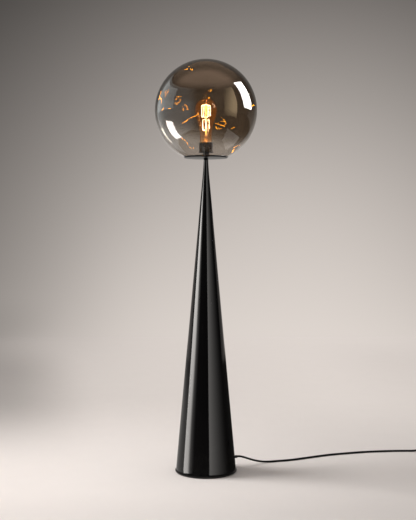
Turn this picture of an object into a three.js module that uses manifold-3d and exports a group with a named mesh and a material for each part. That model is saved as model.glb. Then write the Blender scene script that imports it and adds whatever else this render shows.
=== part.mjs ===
// Globe floor lamp: a smoked glass globe on the tip of a tall black cone.
// Millimetres, +Z up. The origin is the middle of the foot, on the floor.
// +X is the viewer's right, and -Y is the side that faces the viewer.
import * as THREE from 'three';
import { mergeVertices } from 'three/addons/utils/BufferGeometryUtils.js';
import Module from 'manifold-3d';

const wasm = await Module();
wasm.setup();

// Clearances and tolerances
const SEAT_GAP = 0.3; // between a piece and what it rests on
const BORE_CLEARANCE = 0.3; // round a shaft or a screw in its hole
const CUT_OVERRUN = 5; // how far a cutter runs past what it cuts
const WELD_DISTANCE = 0.001; // vertices nearer than this are one

// Foot
const PAD_INSET = 4.9; // from the edge of the base plate
const PAD_THICKNESS = 1.5;
const BASE_LEDGE = 2.6; // how far the base plate stands out past the cone
const BASE_PLATE_THICKNESS = 6.2;
const BASE_PLATE_EDGE_RADIUS = 2.6;
const NUT_RECESS_RADIUS = 11;
const BASE_SCREW_COUNT = 3;
const BASE_SCREW_CIRCLE_RADIUS = 55;
const BASE_SCREW_RADIUS = 2.5;
const BASE_SCREW_LENGTH = 16;
const BASE_SCREW_HEAD_RADIUS = 4.8;
const BASE_SCREW_HEAD_HEIGHT = 2.6;
const BASE_SCREW_TURN = THREE.MathUtils.degToRad(-30);

// Ballast inside the foot of the cone
const WEIGHT_HEIGHT = 25;
const WEIGHT_SIDE_CLEARANCE = 1;
const WEIGHT_CHAMFER = 2;
const CHANNEL_WIDTH = 20;
const CHANNEL_DEPTH = 14;
const CHANNEL_INNER_RADIUS = 18;

// Tie tube that clamps foot, cone and globe seat together
const TUBE_RADIUS = 5;
const TUBE_BORE_RADIUS = 3.9;
const NUT_ACROSS_FLATS = 14;
const NUT_HEIGHT = 3;
const WASHER_RADIUS = 12;
const WASHER_THICKNESS = 1.8;
const TUBE_SLOT_LENGTH = 66;
const TUBE_SLOT_WIDTH = 7;
const TUBE_SLOT_RISE = 24; // above the top nut

// Cone
const CONE_FOOT_RADIUS = 88.3;
const CONE_WALL = 1.5;
const NECK_RADIUS = 6.65;
const SEAT_HEIGHT = 923.8; // underside of the seat plate
const NECK_LENGTH = 20.8; // from where the straight flank would meet the neck up to the seat plate
const NECK_CURVE_LENGTH = 43; // from there down to where the flank starts to curve

// Globe and its seat
const GLOBE_RADIUS = 150;
const GLOBE_WALL = 3.5;
const GLOBE_CUT_RADIUS = 68.6; // outside of the glass where it is cut flat
const SEAT_REST_WIDTH = 2.95; // of the cut edge of the glass that rests on the seat
const SEAT_PLATE_THICKNESS = 2.5;
const GASKET_THICKNESS = 0.8;
const SEAT_STEP_CLEARANCE = 0.9; // between the centring step and the glass
const SEAT_STEP_RISE = 1.2; // above the cut edge of the glass
const FERRULE_RADIUS = 10;
const FERRULE_HEIGHT = 9.7;

// Lampholder
const CUP_WALL = 1.2;
const CUP_FLOOR = 2;
const CUP_BEAD = 1; // how far the bead at its foot stands out
const CUP_BEAD_HEIGHT = 3;
const CUP_LIP_RADIUS = 0.5;
const HOLDER_FLOOR = 6.8;
const HOLDER_WALL = 4.2;
const SLEEVE_WALL = 0.4;
const SLEEVE_CLEARANCE = 0.4; // round the cap of the bulb
const SLEEVE_HEIGHT = 20;
const CONTACT_WIDTH = 6;
const CONTACT_LENGTH = 20;
const CONTACT_THICKNESS = 0.7;

// Bulb
const CAP_RADIUS = 13.2;
const CAP_WALL_TAPER = 3.4; // height of the insulating cone below the cap
const CAP_CONTACT_RADIUS = 4.6;
const CAP_CONTACT_HEIGHT = 0.9;
const CAP_TIP_RADIUS = 5.6;
const BULB_NECK_RADIUS = 17.5;
const BULB_NECK_TOP = 27.8; // above the cap
const BULB_BELLY_RADIUS = 32;
const BULB_HEIGHT = 128; // of the glass
const BULB_DOME_HEIGHT = 32.2; // from the belly to the top
const BULB_SHOULDER = 5;
const BULB_WALL = 1;
const STEM_FLARE_RADIUS = 10.5;
const STEM_FLARE_HEIGHT = 19;
const STEM_PINCH_RADIUS = 4.2;
const STEM_ROD_RADIUS = 2;

// Filament cage
const FILAMENT_RADIUS = 1;
const LOWER_CAGE = { runs: 4, radius: 9.3 };
const UPPER_CAGE = { runs: 6, radius: 12.4 };
const CAGE_FOOT = 36.8; // above the cap
const CAGE_HEADROOM = 19; // below the top of the glass
const TIER_GAP = 7.5;
const LOWER_TIER_SHARE = 6 / 13; // of the height that the two tiers fill
const CAGE_BEND_RISE = 3;
const SPIDER_WIRE_RADIUS = 0.45;
const SPIDER_CLEARANCE = 0.6; // between a wire and the bend that it holds
const SPIDER_HUB_RADIUS = 3.2;
const SPIDER_HUB_HEIGHT = 2.4;
const LEAD_WIRE_RADIUS = 0.4;

// Mains cord
const CORD_RADIUS = 3;
const CORD_EXIT_HEIGHT = 31;
const CORD_EXIT_TURN = THREE.MathUtils.degToRad(30); // from +X towards +Y
const CORD_SIDES = 8;
const CORD_STEP = 18;
const GROMMET_NECK_RADIUS = 5.9;
const GROMMET_FLANGE_RADIUS = 8.2;
const GROMMET_FLANGE_THICKNESS = 2.2;
const GROMMET_INSIDE_LENGTH = 6;
const RELIEF_LENGTH = 22;
const RELIEF_ROOT_RADIUS = 5.4;
const RELIEF_TIP_RADIUS = 4;
const RELIEF_RIB_DEPTH = 0.7;
const RELIEF_RIBS = 3;

// The cord's way over the floor, from the tip of the strain relief to the switch
const CORD_RUN = [
  [108, 62.4, 28.4], [121, 69.6, 23.2], [134, 77, 17.4], [146.5, 84, 12.4],
  [160, 90.5, 8.2], [177, 98, 4.6], [196, 105.5, 3.1], [218, 112.5, 3], [246.5, 121, 3],
  [282, 136.8, 3], [305, 150, 3], [335, 166.5, 3], [378.6, 189.5, 3], [415, 204.5, 3],
  [448.5, 216, 3], [509, 233.8, 3], [570, 244.6, 3], [612, 248.6, 3], [645, 249.4, 3],
  [668, 247.5, 3.8],
];
const SWITCH_START = [697, 240.3]; // the tip of the first bushing
const SWITCH_TURN = THREE.MathUtils.degToRad(-20);

// Foot switch on the cord
const SWITCH_LENGTH = 84;
const SWITCH_WIDTH = 36;
const SWITCH_HEIGHT = 24;
const SWITCH_CORNER_RADIUS = 15;
const SWITCH_SPLIT_HEIGHT = 8.5;
const SWITCH_WALL = 2.2;
const SWITCH_EDGE_ROUND = 3.5;
const BUSHING_LENGTH = 20;
const BUSHING_NECK_RADIUS = 4.6;
const BUSHING_FLANGE_RADIUS = 5.6;
const BUSHING_FLANGE_THICKNESS = 2;
const BUTTON_RADIUS = 11;
const BUTTON_STAND = 4.4; // above the cover
const BUTTON_TRAVEL = 3;
const BUTTON_FLANGE_WIDTH = 2;
const BUTTON_FLANGE_THICKNESS = 3;
const BUTTON_EDGE_ROUND = 1.8;
const BUTTON_DOME = 0.5;
const PLUNGER_RADIUS = 4;
const PLUNGER_LENGTH = 6.5;
const BLOCK_LENGTH = 34;
const BLOCK_WIDTH = 22;
const BLOCK_CLEARANCE = 0.5; // under the pressed button
const SWITCH_SCREW_INSET = 14; // from each end
const SWITCH_SCREW_RADIUS = 1.5;
const SWITCH_SCREW_LENGTH = 13;
const SWITCH_SCREW_HEAD_RADIUS = 2.8;
const SWITCH_SCREW_HEAD_HEIGHT = 1.2;
const SWITCH_BOSS_RADIUS = 3.6;

// Coil of the cord that is put away
const COIL_TURNS = 5;
const COIL_OUTER_RADIUS = 41;
const COIL_PITCH = 6.6;
const COIL_STEPS_PER_TURN = 24;
const COIL_SIDES = 6;
const COIL_APPROACH_RADIUS = 40;
const COIL_APPROACH_LENGTH = 24;
const TIE_WIDTH = 8;
const TIE_THICKNESS = 0.8;

// Plug
const TAIL_STRAIGHT = 10;
const TAIL_BEND_RADIUS = 62;
const TAIL_END_LENGTH = 40;
const PLUG_LENGTH = 34;
const PLUG_WIDTH = 35.3;
const PLUG_BACK_WIDTH = 15;
const PLUG_SHOULDER_LENGTH = 14;
const PLUG_THICKNESS = 13.7;
const PLUG_EDGE_ROUND = 1.6;
const PLUG_RELIEF_LENGTH = 22;
const PIN_RADIUS = 2;
const PIN_LENGTH = 19;
const PIN_SPACING = 18.6;

// Counts of facets
const SIDES = { tiny: 6, small: 12, medium: 20, large: 36, cone: 44 };
const STEPS = { edge: 3, curve: 6, flank: 7, globeInside: 12, globeOutside: 16, filamentRun: 7, cordBend: 4 };

// Heights and radii that follow from the sizes above
const BASE_PLATE_BOTTOM = PAD_THICKNESS + SEAT_GAP;
const BASE_PLATE_TOP = BASE_PLATE_BOTTOM + BASE_PLATE_THICKNESS;
const CONE_FOOT = BASE_PLATE_TOP + SEAT_GAP;
const CONE_TOP = SEAT_HEIGHT - SEAT_GAP;
const NECK_CORNER_HEIGHT = SEAT_HEIGHT - NECK_LENGTH;
const BASE_PLATE_RADIUS = CONE_FOOT_RADIUS + BASE_LEDGE;
const CONE_TAPER = (CONE_FOOT_RADIUS - NECK_RADIUS) / (NECK_CORNER_HEIGHT - CONE_FOOT);
const WEIGHT_TOP = CONE_FOOT + WEIGHT_HEIGHT;
const WASHER_BOTTOM = WEIGHT_TOP + SEAT_GAP;
const TOP_NUT_BOTTOM = WASHER_BOTTOM + WASHER_THICKNESS + SEAT_GAP;
const TUBE_SLOT_BOTTOM = TOP_NUT_BOTTOM + NUT_HEIGHT + TUBE_SLOT_RISE;
const RECESS_DEPTH = NUT_HEIGHT + 2 * SEAT_GAP;
const LOWER_NUT_BOTTOM = BASE_PLATE_BOTTOM + RECESS_DEPTH - SEAT_GAP - NUT_HEIGHT;
const GASKET_BOTTOM = SEAT_HEIGHT + SEAT_PLATE_THICKNESS + SEAT_GAP;
const GLOBE_CUT = GASKET_BOTTOM + GASKET_THICKNESS + SEAT_GAP;
const GLOBE_CENTRE = GLOBE_CUT + Math.sqrt(GLOBE_RADIUS ** 2 - GLOBE_CUT_RADIUS ** 2);
const GLOBE_INNER_RADIUS = GLOBE_RADIUS - GLOBE_WALL;
const GLOBE_MOUTH_RADIUS = Math.sqrt(GLOBE_INNER_RADIUS ** 2 - (GLOBE_CENTRE - GLOBE_CUT) ** 2);
const SEAT_PLATE_RADIUS = GLOBE_MOUTH_RADIUS + SEAT_REST_WIDTH;
const SEAT_STEP_RADIUS = GLOBE_MOUTH_RADIUS - SEAT_STEP_CLEARANCE;
const SEAT_STEP_TOP = GLOBE_CUT + SEAT_STEP_RISE;
const FERRULE_BOTTOM = SEAT_STEP_TOP + SEAT_GAP;
const CUP_BOTTOM = FERRULE_BOTTOM + FERRULE_HEIGHT + SEAT_GAP;
const TUBE_BOTTOM = LOWER_NUT_BOTTOM;
const TUBE_TOP = CUP_BOTTOM + CUP_FLOOR;
const HOLDER_BOTTOM = TUBE_TOP + SEAT_GAP;
const HOLDER_FLOOR_TOP = HOLDER_BOTTOM + HOLDER_FLOOR;
const SLEEVE_BOTTOM = HOLDER_FLOOR_TOP + SEAT_GAP;
const SLEEVE_TOP = SLEEVE_BOTTOM + SLEEVE_HEIGHT;
const SLEEVE_INNER_RADIUS = CAP_RADIUS + SLEEVE_CLEARANCE;
const SLEEVE_RADIUS = SLEEVE_INNER_RADIUS + SLEEVE_WALL;
const HOLDER_INNER_RADIUS = SLEEVE_RADIUS + SEAT_GAP;
const HOLDER_RADIUS = HOLDER_INNER_RADIUS + HOLDER_WALL;
const CUP_RADIUS = HOLDER_RADIUS + SEAT_GAP + CUP_WALL;
const CONTACT_BOTTOM = HOLDER_FLOOR_TOP + SEAT_GAP;
const CAP_TIP_BOTTOM = CONTACT_BOTTOM + CONTACT_THICKNESS + SEAT_GAP;
const INSULATOR_BOTTOM = CAP_TIP_BOTTOM + CAP_CONTACT_HEIGHT + SEAT_GAP;
const CAP_BOTTOM = INSULATOR_BOTTOM + CAP_WALL_TAPER + SEAT_GAP;
const CAP_TOP = SLEEVE_TOP + SEAT_GAP;
const GLASS_BOTTOM = CAP_TOP + SEAT_GAP;
const TIERS_HEIGHT = BULB_HEIGHT + SEAT_GAP - CAGE_HEADROOM - TIER_GAP - CAGE_FOOT;
LOWER_CAGE.bottom = CAP_TOP + CAGE_FOOT;
LOWER_CAGE.top = LOWER_CAGE.bottom + TIERS_HEIGHT * LOWER_TIER_SHARE;
UPPER_CAGE.bottom = LOWER_CAGE.top + TIER_GAP;
UPPER_CAGE.top = LOWER_CAGE.bottom + TIERS_HEIGHT + TIER_GAP;
const SWITCH_CORD_HEIGHT = SWITCH_WALL + BORE_CLEARANCE + BUSHING_FLANGE_RADIUS;

// Materials
function finish(color, roughness, metalness, extra = {}) {
  return new THREE.MeshStandardMaterial({ color, roughness, metalness, ...extra });
}
const glossBlack = () => finish(0x0b0b0c, 0.18, 0.2);
const satinBlack = () => finish(0x141414, 0.45, 0.2);
const castIron = () => finish(0x3a3a3c, 0.8, 0.7);
const zincSteel = () => finish(0x9a9ca0, 0.35, 0.9);
const darkBronze = () => finish(0x3c3127, 0.35, 0.8);
const brass = () => finish(0xb08d4c, 0.3, 0.9);
const ceramic = () => finish(0xe6e1d6, 0.5, 0);
const smokedGlass = () => finish(0x4a4038, 0.05, 0, { transparent: true, opacity: 0.4 });
const amberGlass = () => finish(0xc98a45, 0.05, 0, { transparent: true, opacity: 0.3 });
const glowing = () => finish(0xffe2a8, 0.5, 0, { emissive: 0xffb040 });
const blackGlass = () => finish(0x17131a, 0.2, 0);
const blackRubber = () => finish(0x151515, 0.7, 0);
const blackPlastic = () => finish(0x1a1a1b, 0.4, 0);
const greyFelt = () => finish(0x2a2a2a, 0.95, 0);

const lamp = new THREE.Group();
lamp.name = 'globe_floor_lamp';

function addPiece(name, geometry, material, parent = lamp) {
  const piece = new THREE.Mesh(geometry, material);
  piece.name = name;
  parent.add(piece);
  return piece;
}

// Solid work
function solidOf(geometry) {
  const bare = geometry.index ? geometry.toNonIndexed() : geometry.clone();
  bare.deleteAttribute('normal');
  bare.deleteAttribute('uv');
  const merged = mergeVertices(bare, WELD_DISTANCE);
  return new wasm.Manifold(new wasm.Mesh({
    numProp: 3,
    vertProperties: merged.attributes.position.array,
    triVerts: new Uint32Array(merged.index.array),
  }));
}

function geometryOf(solid) {
  const mesh = solid.getMesh();
  const geometry = new THREE.BufferGeometry();
  geometry.setAttribute('position', new THREE.BufferAttribute(mesh.vertProperties, 3));
  geometry.setIndex(new THREE.BufferAttribute(mesh.triVerts, 1));
  geometry.computeVertexNormals();
  return geometry;
}

function cut(geometry, ...cutters) {
  const whole = solidOf(geometry);
  return geometryOf(cutters.reduce((solid, cutter) => solid.subtract(solidOf(cutter)), whole));
}

function join(geometry, ...others) {
  const first = solidOf(geometry);
  return geometryOf(others.reduce((solid, other) => solid.add(solidOf(other)), first));
}

// A body of revolution about +Z from [radius, height] points.
// The points go up the outside and down the inside.
function turned(points, sides) {
  const profile = points.map(([radius, height]) => new THREE.Vector2(radius, height));
  return new THREE.LatheGeometry(profile, sides).rotateX(Math.PI / 2);
}

function disc(radius, bottom, top, sides) {
  return turned([[0, bottom], [radius, bottom], [radius, top], [0, top]], sides);
}

function ring(outer, inner, bottom, top, sides) {
  return turned([[outer, bottom], [outer, top], [inner, top], [inner, bottom], [outer, bottom]], sides);
}

function arcPoints(centreRadius, centreHeight, radius, from, to, steps) {
  return Array.from({ length: steps + 1 }, (_, i) => {
    const angle = from + ((to - from) * i) / steps;
    return [centreRadius + radius * Math.cos(angle), centreHeight + radius * Math.sin(angle)];
  });
}

function bezierPoints(start, control1, control2, end, steps) {
  const curve = new THREE.CubicBezierCurve(
    new THREE.Vector2(...start),
    new THREE.Vector2(...control1),
    new THREE.Vector2(...control2),
    new THREE.Vector2(...end),
  );
  return curve.getPoints(steps).map((p) => [p.x, p.y]);
}

function circleShape(radius, sides) {
  const corners = Array.from({ length: sides }, (_, i) => {
    const angle = (2 * Math.PI * (i + 1 / 2)) / sides;
    return new THREE.Vector2(radius * Math.cos(angle), radius * Math.sin(angle));
  });
  return new THREE.Shape(corners);
}

function sweep(path, radius, sides, steps) {
  const section = circleShape(radius, sides);
  return new THREE.ExtrudeGeometry(section, { extrudePath: path, steps, bevelEnabled: false });
}

function rod(from, to, radius, sides) {
  const line = new THREE.LineCurve3(new THREE.Vector3(...from), new THREE.Vector3(...to));
  return sweep(line, radius, sides, 1);
}

function box(length, width, bottom, top) {
  return new THREE.BoxGeometry(length, width, top - bottom).translate(0, 0, (top + bottom) / 2);
}

// Foot
function screwSpots() {
  return Array.from({ length: BASE_SCREW_COUNT }, (_, i) => {
    const angle = BASE_SCREW_TURN + (2 * Math.PI * i) / BASE_SCREW_COUNT;
    return [BASE_SCREW_CIRCLE_RADIUS * Math.cos(angle), BASE_SCREW_CIRCLE_RADIUS * Math.sin(angle)];
  });
}

// A countersunk screw that stands head down, or the hole for it when clearance is given.
function screwForm(clearance) {
  const head = BASE_SCREW_HEAD_RADIUS + clearance;
  const shank = BASE_SCREW_RADIUS + clearance;
  const bottom = BASE_PLATE_BOTTOM + (clearance ? -CUT_OVERRUN : SEAT_GAP);
  const shoulder = BASE_PLATE_BOTTOM + SEAT_GAP;
  const neck = shoulder + BASE_SCREW_HEAD_HEIGHT;
  const top = shoulder + BASE_SCREW_LENGTH + clearance;
  const lower = clearance ? [[0, bottom], [head, bottom]] : [[0, bottom]];
  return turned([...lower, [head, shoulder], [shank, neck], [shank, top], [0, top]], SIDES.small);
}

function makeFoot() {
  const pad = disc(BASE_PLATE_RADIUS - PAD_INSET, 0, PAD_THICKNESS, SIDES.large);
  addPiece('base_pad', pad, greyFelt());

  const edge = BASE_PLATE_EDGE_RADIUS;
  const rim = BASE_PLATE_RADIUS - edge;
  const recessTop = BASE_PLATE_BOTTOM + RECESS_DEPTH;
  const tubeHole = TUBE_RADIUS + BORE_CLEARANCE;
  const plate = turned([
    [NUT_RECESS_RADIUS, BASE_PLATE_BOTTOM],
    ...arcPoints(rim, BASE_PLATE_BOTTOM + edge, edge, -Math.PI / 2, 0, STEPS.edge),
    ...arcPoints(rim, BASE_PLATE_TOP - edge, edge, 0, Math.PI / 2, STEPS.edge),
    [tubeHole, BASE_PLATE_TOP],
    [tubeHole, recessTop],
    [NUT_RECESS_RADIUS, recessTop],
    [NUT_RECESS_RADIUS, BASE_PLATE_BOTTOM],
  ], SIDES.large);
  const spots = screwSpots();
  const holes = spots.map(([x, y]) => screwForm(BORE_CLEARANCE).translate(x, y, 0));
  addPiece('base_plate', cut(plate, ...holes), satinBlack());
  spots.forEach(([x, y], i) => {
    addPiece('base_screw_' + (i + 1), screwForm(0).translate(x, y, 0), zincSteel());
  });

  const side = CONE_WALL + WEIGHT_SIDE_CLEARANCE;
  const weight = turned([
    [tubeHole, CONE_FOOT],
    [coneRadius(CONE_FOOT) - side, CONE_FOOT],
    [coneRadius(WEIGHT_TOP - WEIGHT_CHAMFER) - side, WEIGHT_TOP - WEIGHT_CHAMFER],
    [coneRadius(WEIGHT_TOP) - side - WEIGHT_CHAMFER, WEIGHT_TOP],
    [tubeHole, WEIGHT_TOP],
    [tubeHole, CONE_FOOT],
  ], SIDES.large);
  const channelLength = CONE_FOOT_RADIUS - CHANNEL_INNER_RADIUS;
  const channel = box(channelLength, CHANNEL_WIDTH, WEIGHT_TOP - CHANNEL_DEPTH, WEIGHT_TOP + CUT_OVERRUN)
    .translate(CHANNEL_INNER_RADIUS + channelLength / 2, 0, 0)
    .rotateZ(CORD_EXIT_TURN);
  addPiece('base_weight', cut(weight, channel, ...holes), castIron());
}

// Tie tube with its nuts
function nut(bottom) {
  const flats = 6;
  const outline = circleShape(NUT_ACROSS_FLATS / 2 / Math.cos(Math.PI / flats), flats);
  const blank = new THREE.ExtrudeGeometry(outline, { depth: NUT_HEIGHT, bevelEnabled: false });
  const bore = disc(TUBE_RADIUS + BORE_CLEARANCE, -CUT_OVERRUN, NUT_HEIGHT + CUT_OVERRUN, SIDES.small);
  return cut(blank, bore).translate(0, 0, bottom);
}

function makeTieTube() {
  addPiece('lower_nut', nut(LOWER_NUT_BOTTOM), zincSteel());
  const washerTop = WASHER_BOTTOM + WASHER_THICKNESS;
  const washer = ring(WASHER_RADIUS, TUBE_RADIUS + BORE_CLEARANCE, WASHER_BOTTOM, washerTop, SIDES.medium);
  addPiece('weight_washer', washer, zincSteel());
  addPiece('weight_nut', nut(TOP_NUT_BOTTOM), zincSteel());
  const tube = ring(TUBE_RADIUS, TUBE_BORE_RADIUS, TUBE_BOTTOM, TUBE_TOP, SIDES.small);
  const slotReach = TUBE_RADIUS + CUT_OVERRUN;
  const slot = box(slotReach, TUBE_SLOT_WIDTH, TUBE_SLOT_BOTTOM, TUBE_SLOT_BOTTOM + TUBE_SLOT_LENGTH)
    .translate(slotReach / 2, 0, 0)
    .rotateZ(CORD_EXIT_TURN);
  addPiece('tie_tube', cut(tube, slot), zincSteel());
}

// Cone
function coneRadius(height) {
  return CONE_FOOT_RADIUS - CONE_TAPER * (height - CONE_FOOT);
}

// The flank runs straight up and curves into the parallel neck; inset follows the wall's inside.
function coneFlank(inset, foot, top) {
  const curveStart = NECK_CORNER_HEIGHT - NECK_CURVE_LENGTH;
  const start = [coneRadius(curveStart) - inset, curveStart];
  const corner = [NECK_RADIUS - inset, NECK_CORNER_HEIGHT];
  const end = [NECK_RADIUS - inset, top];
  const reach = 2 / 3; // a quadratic curve written as a cubic one
  const towards = (a, b) => [a[0] + (b[0] - a[0]) * reach, a[1] + (b[1] - a[1]) * reach];
  return [
    [coneRadius(foot) - inset, foot],
    ...bezierPoints(start, towards(start, corner), towards(end, corner), end, STEPS.curve),
  ];
}

function coneShell(grow) {
  const outside = coneFlank(-grow, CONE_FOOT, CONE_TOP);
  const inside = coneFlank(CONE_WALL + grow, CONE_FOOT, CONE_TOP).reverse();
  return turned([...outside, ...inside, outside[0]], SIDES.cone);
}

// A shape that is turned about +Z, laid along the way the cord leaves the cone.
function alongExit(geometry) {
  return geometry.rotateY(Math.PI / 2).rotateZ(CORD_EXIT_TURN).translate(0, 0, CORD_EXIT_HEIGHT);
}

// Strain relief with shallow ribs, from its root to its tip along +Z.
function reliefProfile(root, tip, rootRadius) {
  const pitch = (tip - root) / RELIEF_RIBS;
  const radiusAt = (share) => rootRadius + (RELIEF_TIP_RADIUS - rootRadius) * share;
  return Array.from({ length: RELIEF_RIBS }, (_, i) => {
    const start = root + pitch * i;
    const ribEnd = start + pitch / 2;
    const shares = [i, i + 1 / 2, i + 1].map((rib) => rib / RELIEF_RIBS);
    return [
      [radiusAt(shares[0]), start],
      [radiusAt(shares[1]), ribEnd],
      [radiusAt(shares[1]) - RELIEF_RIB_DEPTH, ribEnd],
      [radiusAt(shares[2]) - RELIEF_RIB_DEPTH, start + pitch],
    ];
  }).flat();
}

const EXIT_WALL_RADIUS = coneRadius(CORD_EXIT_HEIGHT);
const GROMMET_INNER_END = EXIT_WALL_RADIUS - CONE_WALL - GROMMET_INSIDE_LENGTH;
const RELIEF_ROOT = EXIT_WALL_RADIUS + GROMMET_FLANGE_THICKNESS;
const RELIEF_TIP = RELIEF_ROOT + RELIEF_LENGTH;

function makeCone() {
  const hole = disc(GROMMET_NECK_RADIUS + BORE_CLEARANCE, 0, RELIEF_TIP, SIDES.medium);
  addPiece('cone_body', cut(coneShell(0), alongExit(hole)), glossBlack());

  const bore = CORD_RADIUS + BORE_CLEARANCE;
  const blank = alongExit(turned([
    [bore, GROMMET_INNER_END],
    [GROMMET_FLANGE_RADIUS, GROMMET_INNER_END],
    [GROMMET_FLANGE_RADIUS, RELIEF_ROOT],
    ...reliefProfile(RELIEF_ROOT, RELIEF_TIP, RELIEF_ROOT_RADIUS),
    [bore, RELIEF_TIP],
    [bore, GROMMET_INNER_END],
  ], SIDES.medium));
  const neck = alongExit(disc(GROMMET_NECK_RADIUS, 0, RELIEF_TIP, SIDES.medium));
  addPiece('cord_grommet', cut(blank, cut(coneShell(BORE_CLEARANCE), neck)), blackRubber());
}

// The lead inside: through the grommet, along the channel, into the tube and up to the lampholder
function makeInnerLead() {
  const along = new THREE.Vector2(Math.cos(CORD_EXIT_TURN), Math.sin(CORD_EXIT_TURN));
  const at = (radius, height) => new THREE.Vector3(along.x * radius, along.y * radius, height);
  const slotTop = TUBE_SLOT_BOTTOM + TUBE_SLOT_LENGTH;
  const bendStart = at(CHANNEL_INNER_RADIUS * 3, CORD_EXIT_HEIGHT);
  const route = new THREE.CurvePath();
  route.add(new THREE.LineCurve3(at(RELIEF_TIP, CORD_EXIT_HEIGHT), bendStart));
  route.add(new THREE.CubicBezierCurve3(
    bendStart,
    at(CHANNEL_INNER_RADIUS, CORD_EXIT_HEIGHT),
    at(0, CORD_EXIT_HEIGHT + TUBE_SLOT_RISE),
    at(0, slotTop),
  ));
  route.add(new THREE.LineCurve3(at(0, slotTop), at(0, TUBE_TOP)));
  const steps = Math.round(route.getLength() / CORD_STEP);
  addPiece('inner_lead', sweep(route, CORD_RADIUS, CORD_SIDES, steps), blackRubber());
}

// Seat of the globe
function makeSeat() {
  const tubeHole = TUBE_RADIUS + BORE_CLEARANCE;
  const plateTop = SEAT_HEIGHT + SEAT_PLATE_THICKNESS;
  addPiece('seat_plate', turned([
    [tubeHole, SEAT_HEIGHT],
    [SEAT_PLATE_RADIUS, SEAT_HEIGHT],
    [SEAT_PLATE_RADIUS, plateTop],
    [SEAT_STEP_RADIUS, plateTop],
    [SEAT_STEP_RADIUS, SEAT_STEP_TOP],
    [tubeHole, SEAT_STEP_TOP],
    [tubeHole, SEAT_HEIGHT],
  ], SIDES.large), satinBlack());
  const gasketTop = GASKET_BOTTOM + GASKET_THICKNESS;
  const gasketInner = SEAT_STEP_RADIUS + BORE_CLEARANCE;
  const gasket = ring(SEAT_PLATE_RADIUS, gasketInner, GASKET_BOTTOM, gasketTop, SIDES.large);
  addPiece('seat_gasket', gasket, blackRubber());
  const ferruleTop = FERRULE_BOTTOM + FERRULE_HEIGHT;
  const ferrule = ring(FERRULE_RADIUS, tubeHole, FERRULE_BOTTOM, ferruleTop, SIDES.medium);
  addPiece('ferrule', ferrule, satinBlack());
}

function makeGlobe() {
  const drop = GLOBE_CENTRE - GLOBE_CUT;
  const innerCut = -Math.asin(drop / GLOBE_INNER_RADIUS);
  const outerCut = -Math.asin(drop / GLOBE_RADIUS);
  const top = Math.PI / 2;
  const inside = arcPoints(0, GLOBE_CENTRE, GLOBE_INNER_RADIUS, top, innerCut, STEPS.globeInside);
  const outside = arcPoints(0, GLOBE_CENTRE, GLOBE_RADIUS, outerCut, top, STEPS.globeOutside);
  inside[0][0] = 0;
  outside[outside.length - 1][0] = 0;
  addPiece('glass_globe', turned([...inside, ...outside], SIDES.large), smokedGlass());
}

// Lampholder
function makeLampholder() {
  const tubeHole = TUBE_RADIUS + BORE_CLEARANCE;
  const inner = CUP_RADIUS - CUP_WALL;
  const bead = CUP_RADIUS + CUP_BEAD;
  const lip = CUP_LIP_RADIUS;
  addPiece('socket_cup', turned([
    [tubeHole, CUP_BOTTOM],
    [bead - lip, CUP_BOTTOM],
    [bead, CUP_BOTTOM + lip],
    [bead, CUP_BOTTOM + CUP_BEAD_HEIGHT - lip],
    [CUP_RADIUS, CUP_BOTTOM + CUP_BEAD_HEIGHT],
    [CUP_RADIUS, CAP_TOP - lip],
    [CUP_RADIUS - lip, CAP_TOP],
    [inner, CAP_TOP],
    [inner, TUBE_TOP],
    [tubeHole, TUBE_TOP],
    [tubeHole, CUP_BOTTOM],
  ], SIDES.medium), darkBronze());

  addPiece('lampholder_body', turned([
    [0, HOLDER_BOTTOM],
    [HOLDER_RADIUS, HOLDER_BOTTOM],
    [HOLDER_RADIUS, SLEEVE_TOP],
    [HOLDER_INNER_RADIUS, SLEEVE_TOP],
    [HOLDER_INNER_RADIUS, HOLDER_FLOOR_TOP],
    [0, HOLDER_FLOOR_TOP],
  ], SIDES.medium), ceramic());
  const sleeve = ring(SLEEVE_RADIUS, SLEEVE_INNER_RADIUS, SLEEVE_BOTTOM, SLEEVE_TOP, SIDES.medium);
  addPiece('thread_sleeve', sleeve, brass());
  const contactTop = CONTACT_BOTTOM + CONTACT_THICKNESS;
  addPiece('centre_contact', box(CONTACT_LENGTH, CONTACT_WIDTH, CONTACT_BOTTOM, contactTop), brass());
}

// Bulb
function bulbProfile(inset) {
  const neck = BULB_NECK_RADIUS - inset;
  const belly = BULB_BELLY_RADIUS - inset;
  const capHole = CAP_RADIUS - inset;
  const neckTop = GLASS_BOTTOM + BULB_NECK_TOP;
  const bellyHeight = GLASS_BOTTOM + BULB_HEIGHT - BULB_DOME_HEIGHT;
  const domeHeight = BULB_DOME_HEIGHT - inset;
  const reach = (bellyHeight - neckTop) / 3;
  const shoulderTop = GLASS_BOTTOM + BULB_SHOULDER;
  const shoulder = bezierPoints(
    [capHole, GLASS_BOTTOM],
    [neck - inset, GLASS_BOTTOM],
    [neck, GLASS_BOTTOM + BULB_SHOULDER / 3],
    [neck, shoulderTop],
    STEPS.edge,
  );
  const flank = bezierPoints(
    [neck, neckTop],
    [neck, neckTop + reach],
    [belly, bellyHeight - reach],
    [belly, bellyHeight],
    STEPS.flank,
  );
  const dome = Array.from({ length: STEPS.curve }, (_, i) => {
    const angle = (Math.PI / 2) * ((i + 1) / STEPS.curve);
    return [belly * Math.cos(angle), bellyHeight + domeHeight * Math.sin(angle)];
  });
  dome[dome.length - 1][0] = 0;
  return [...shoulder, ...flank, ...dome];
}

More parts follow.
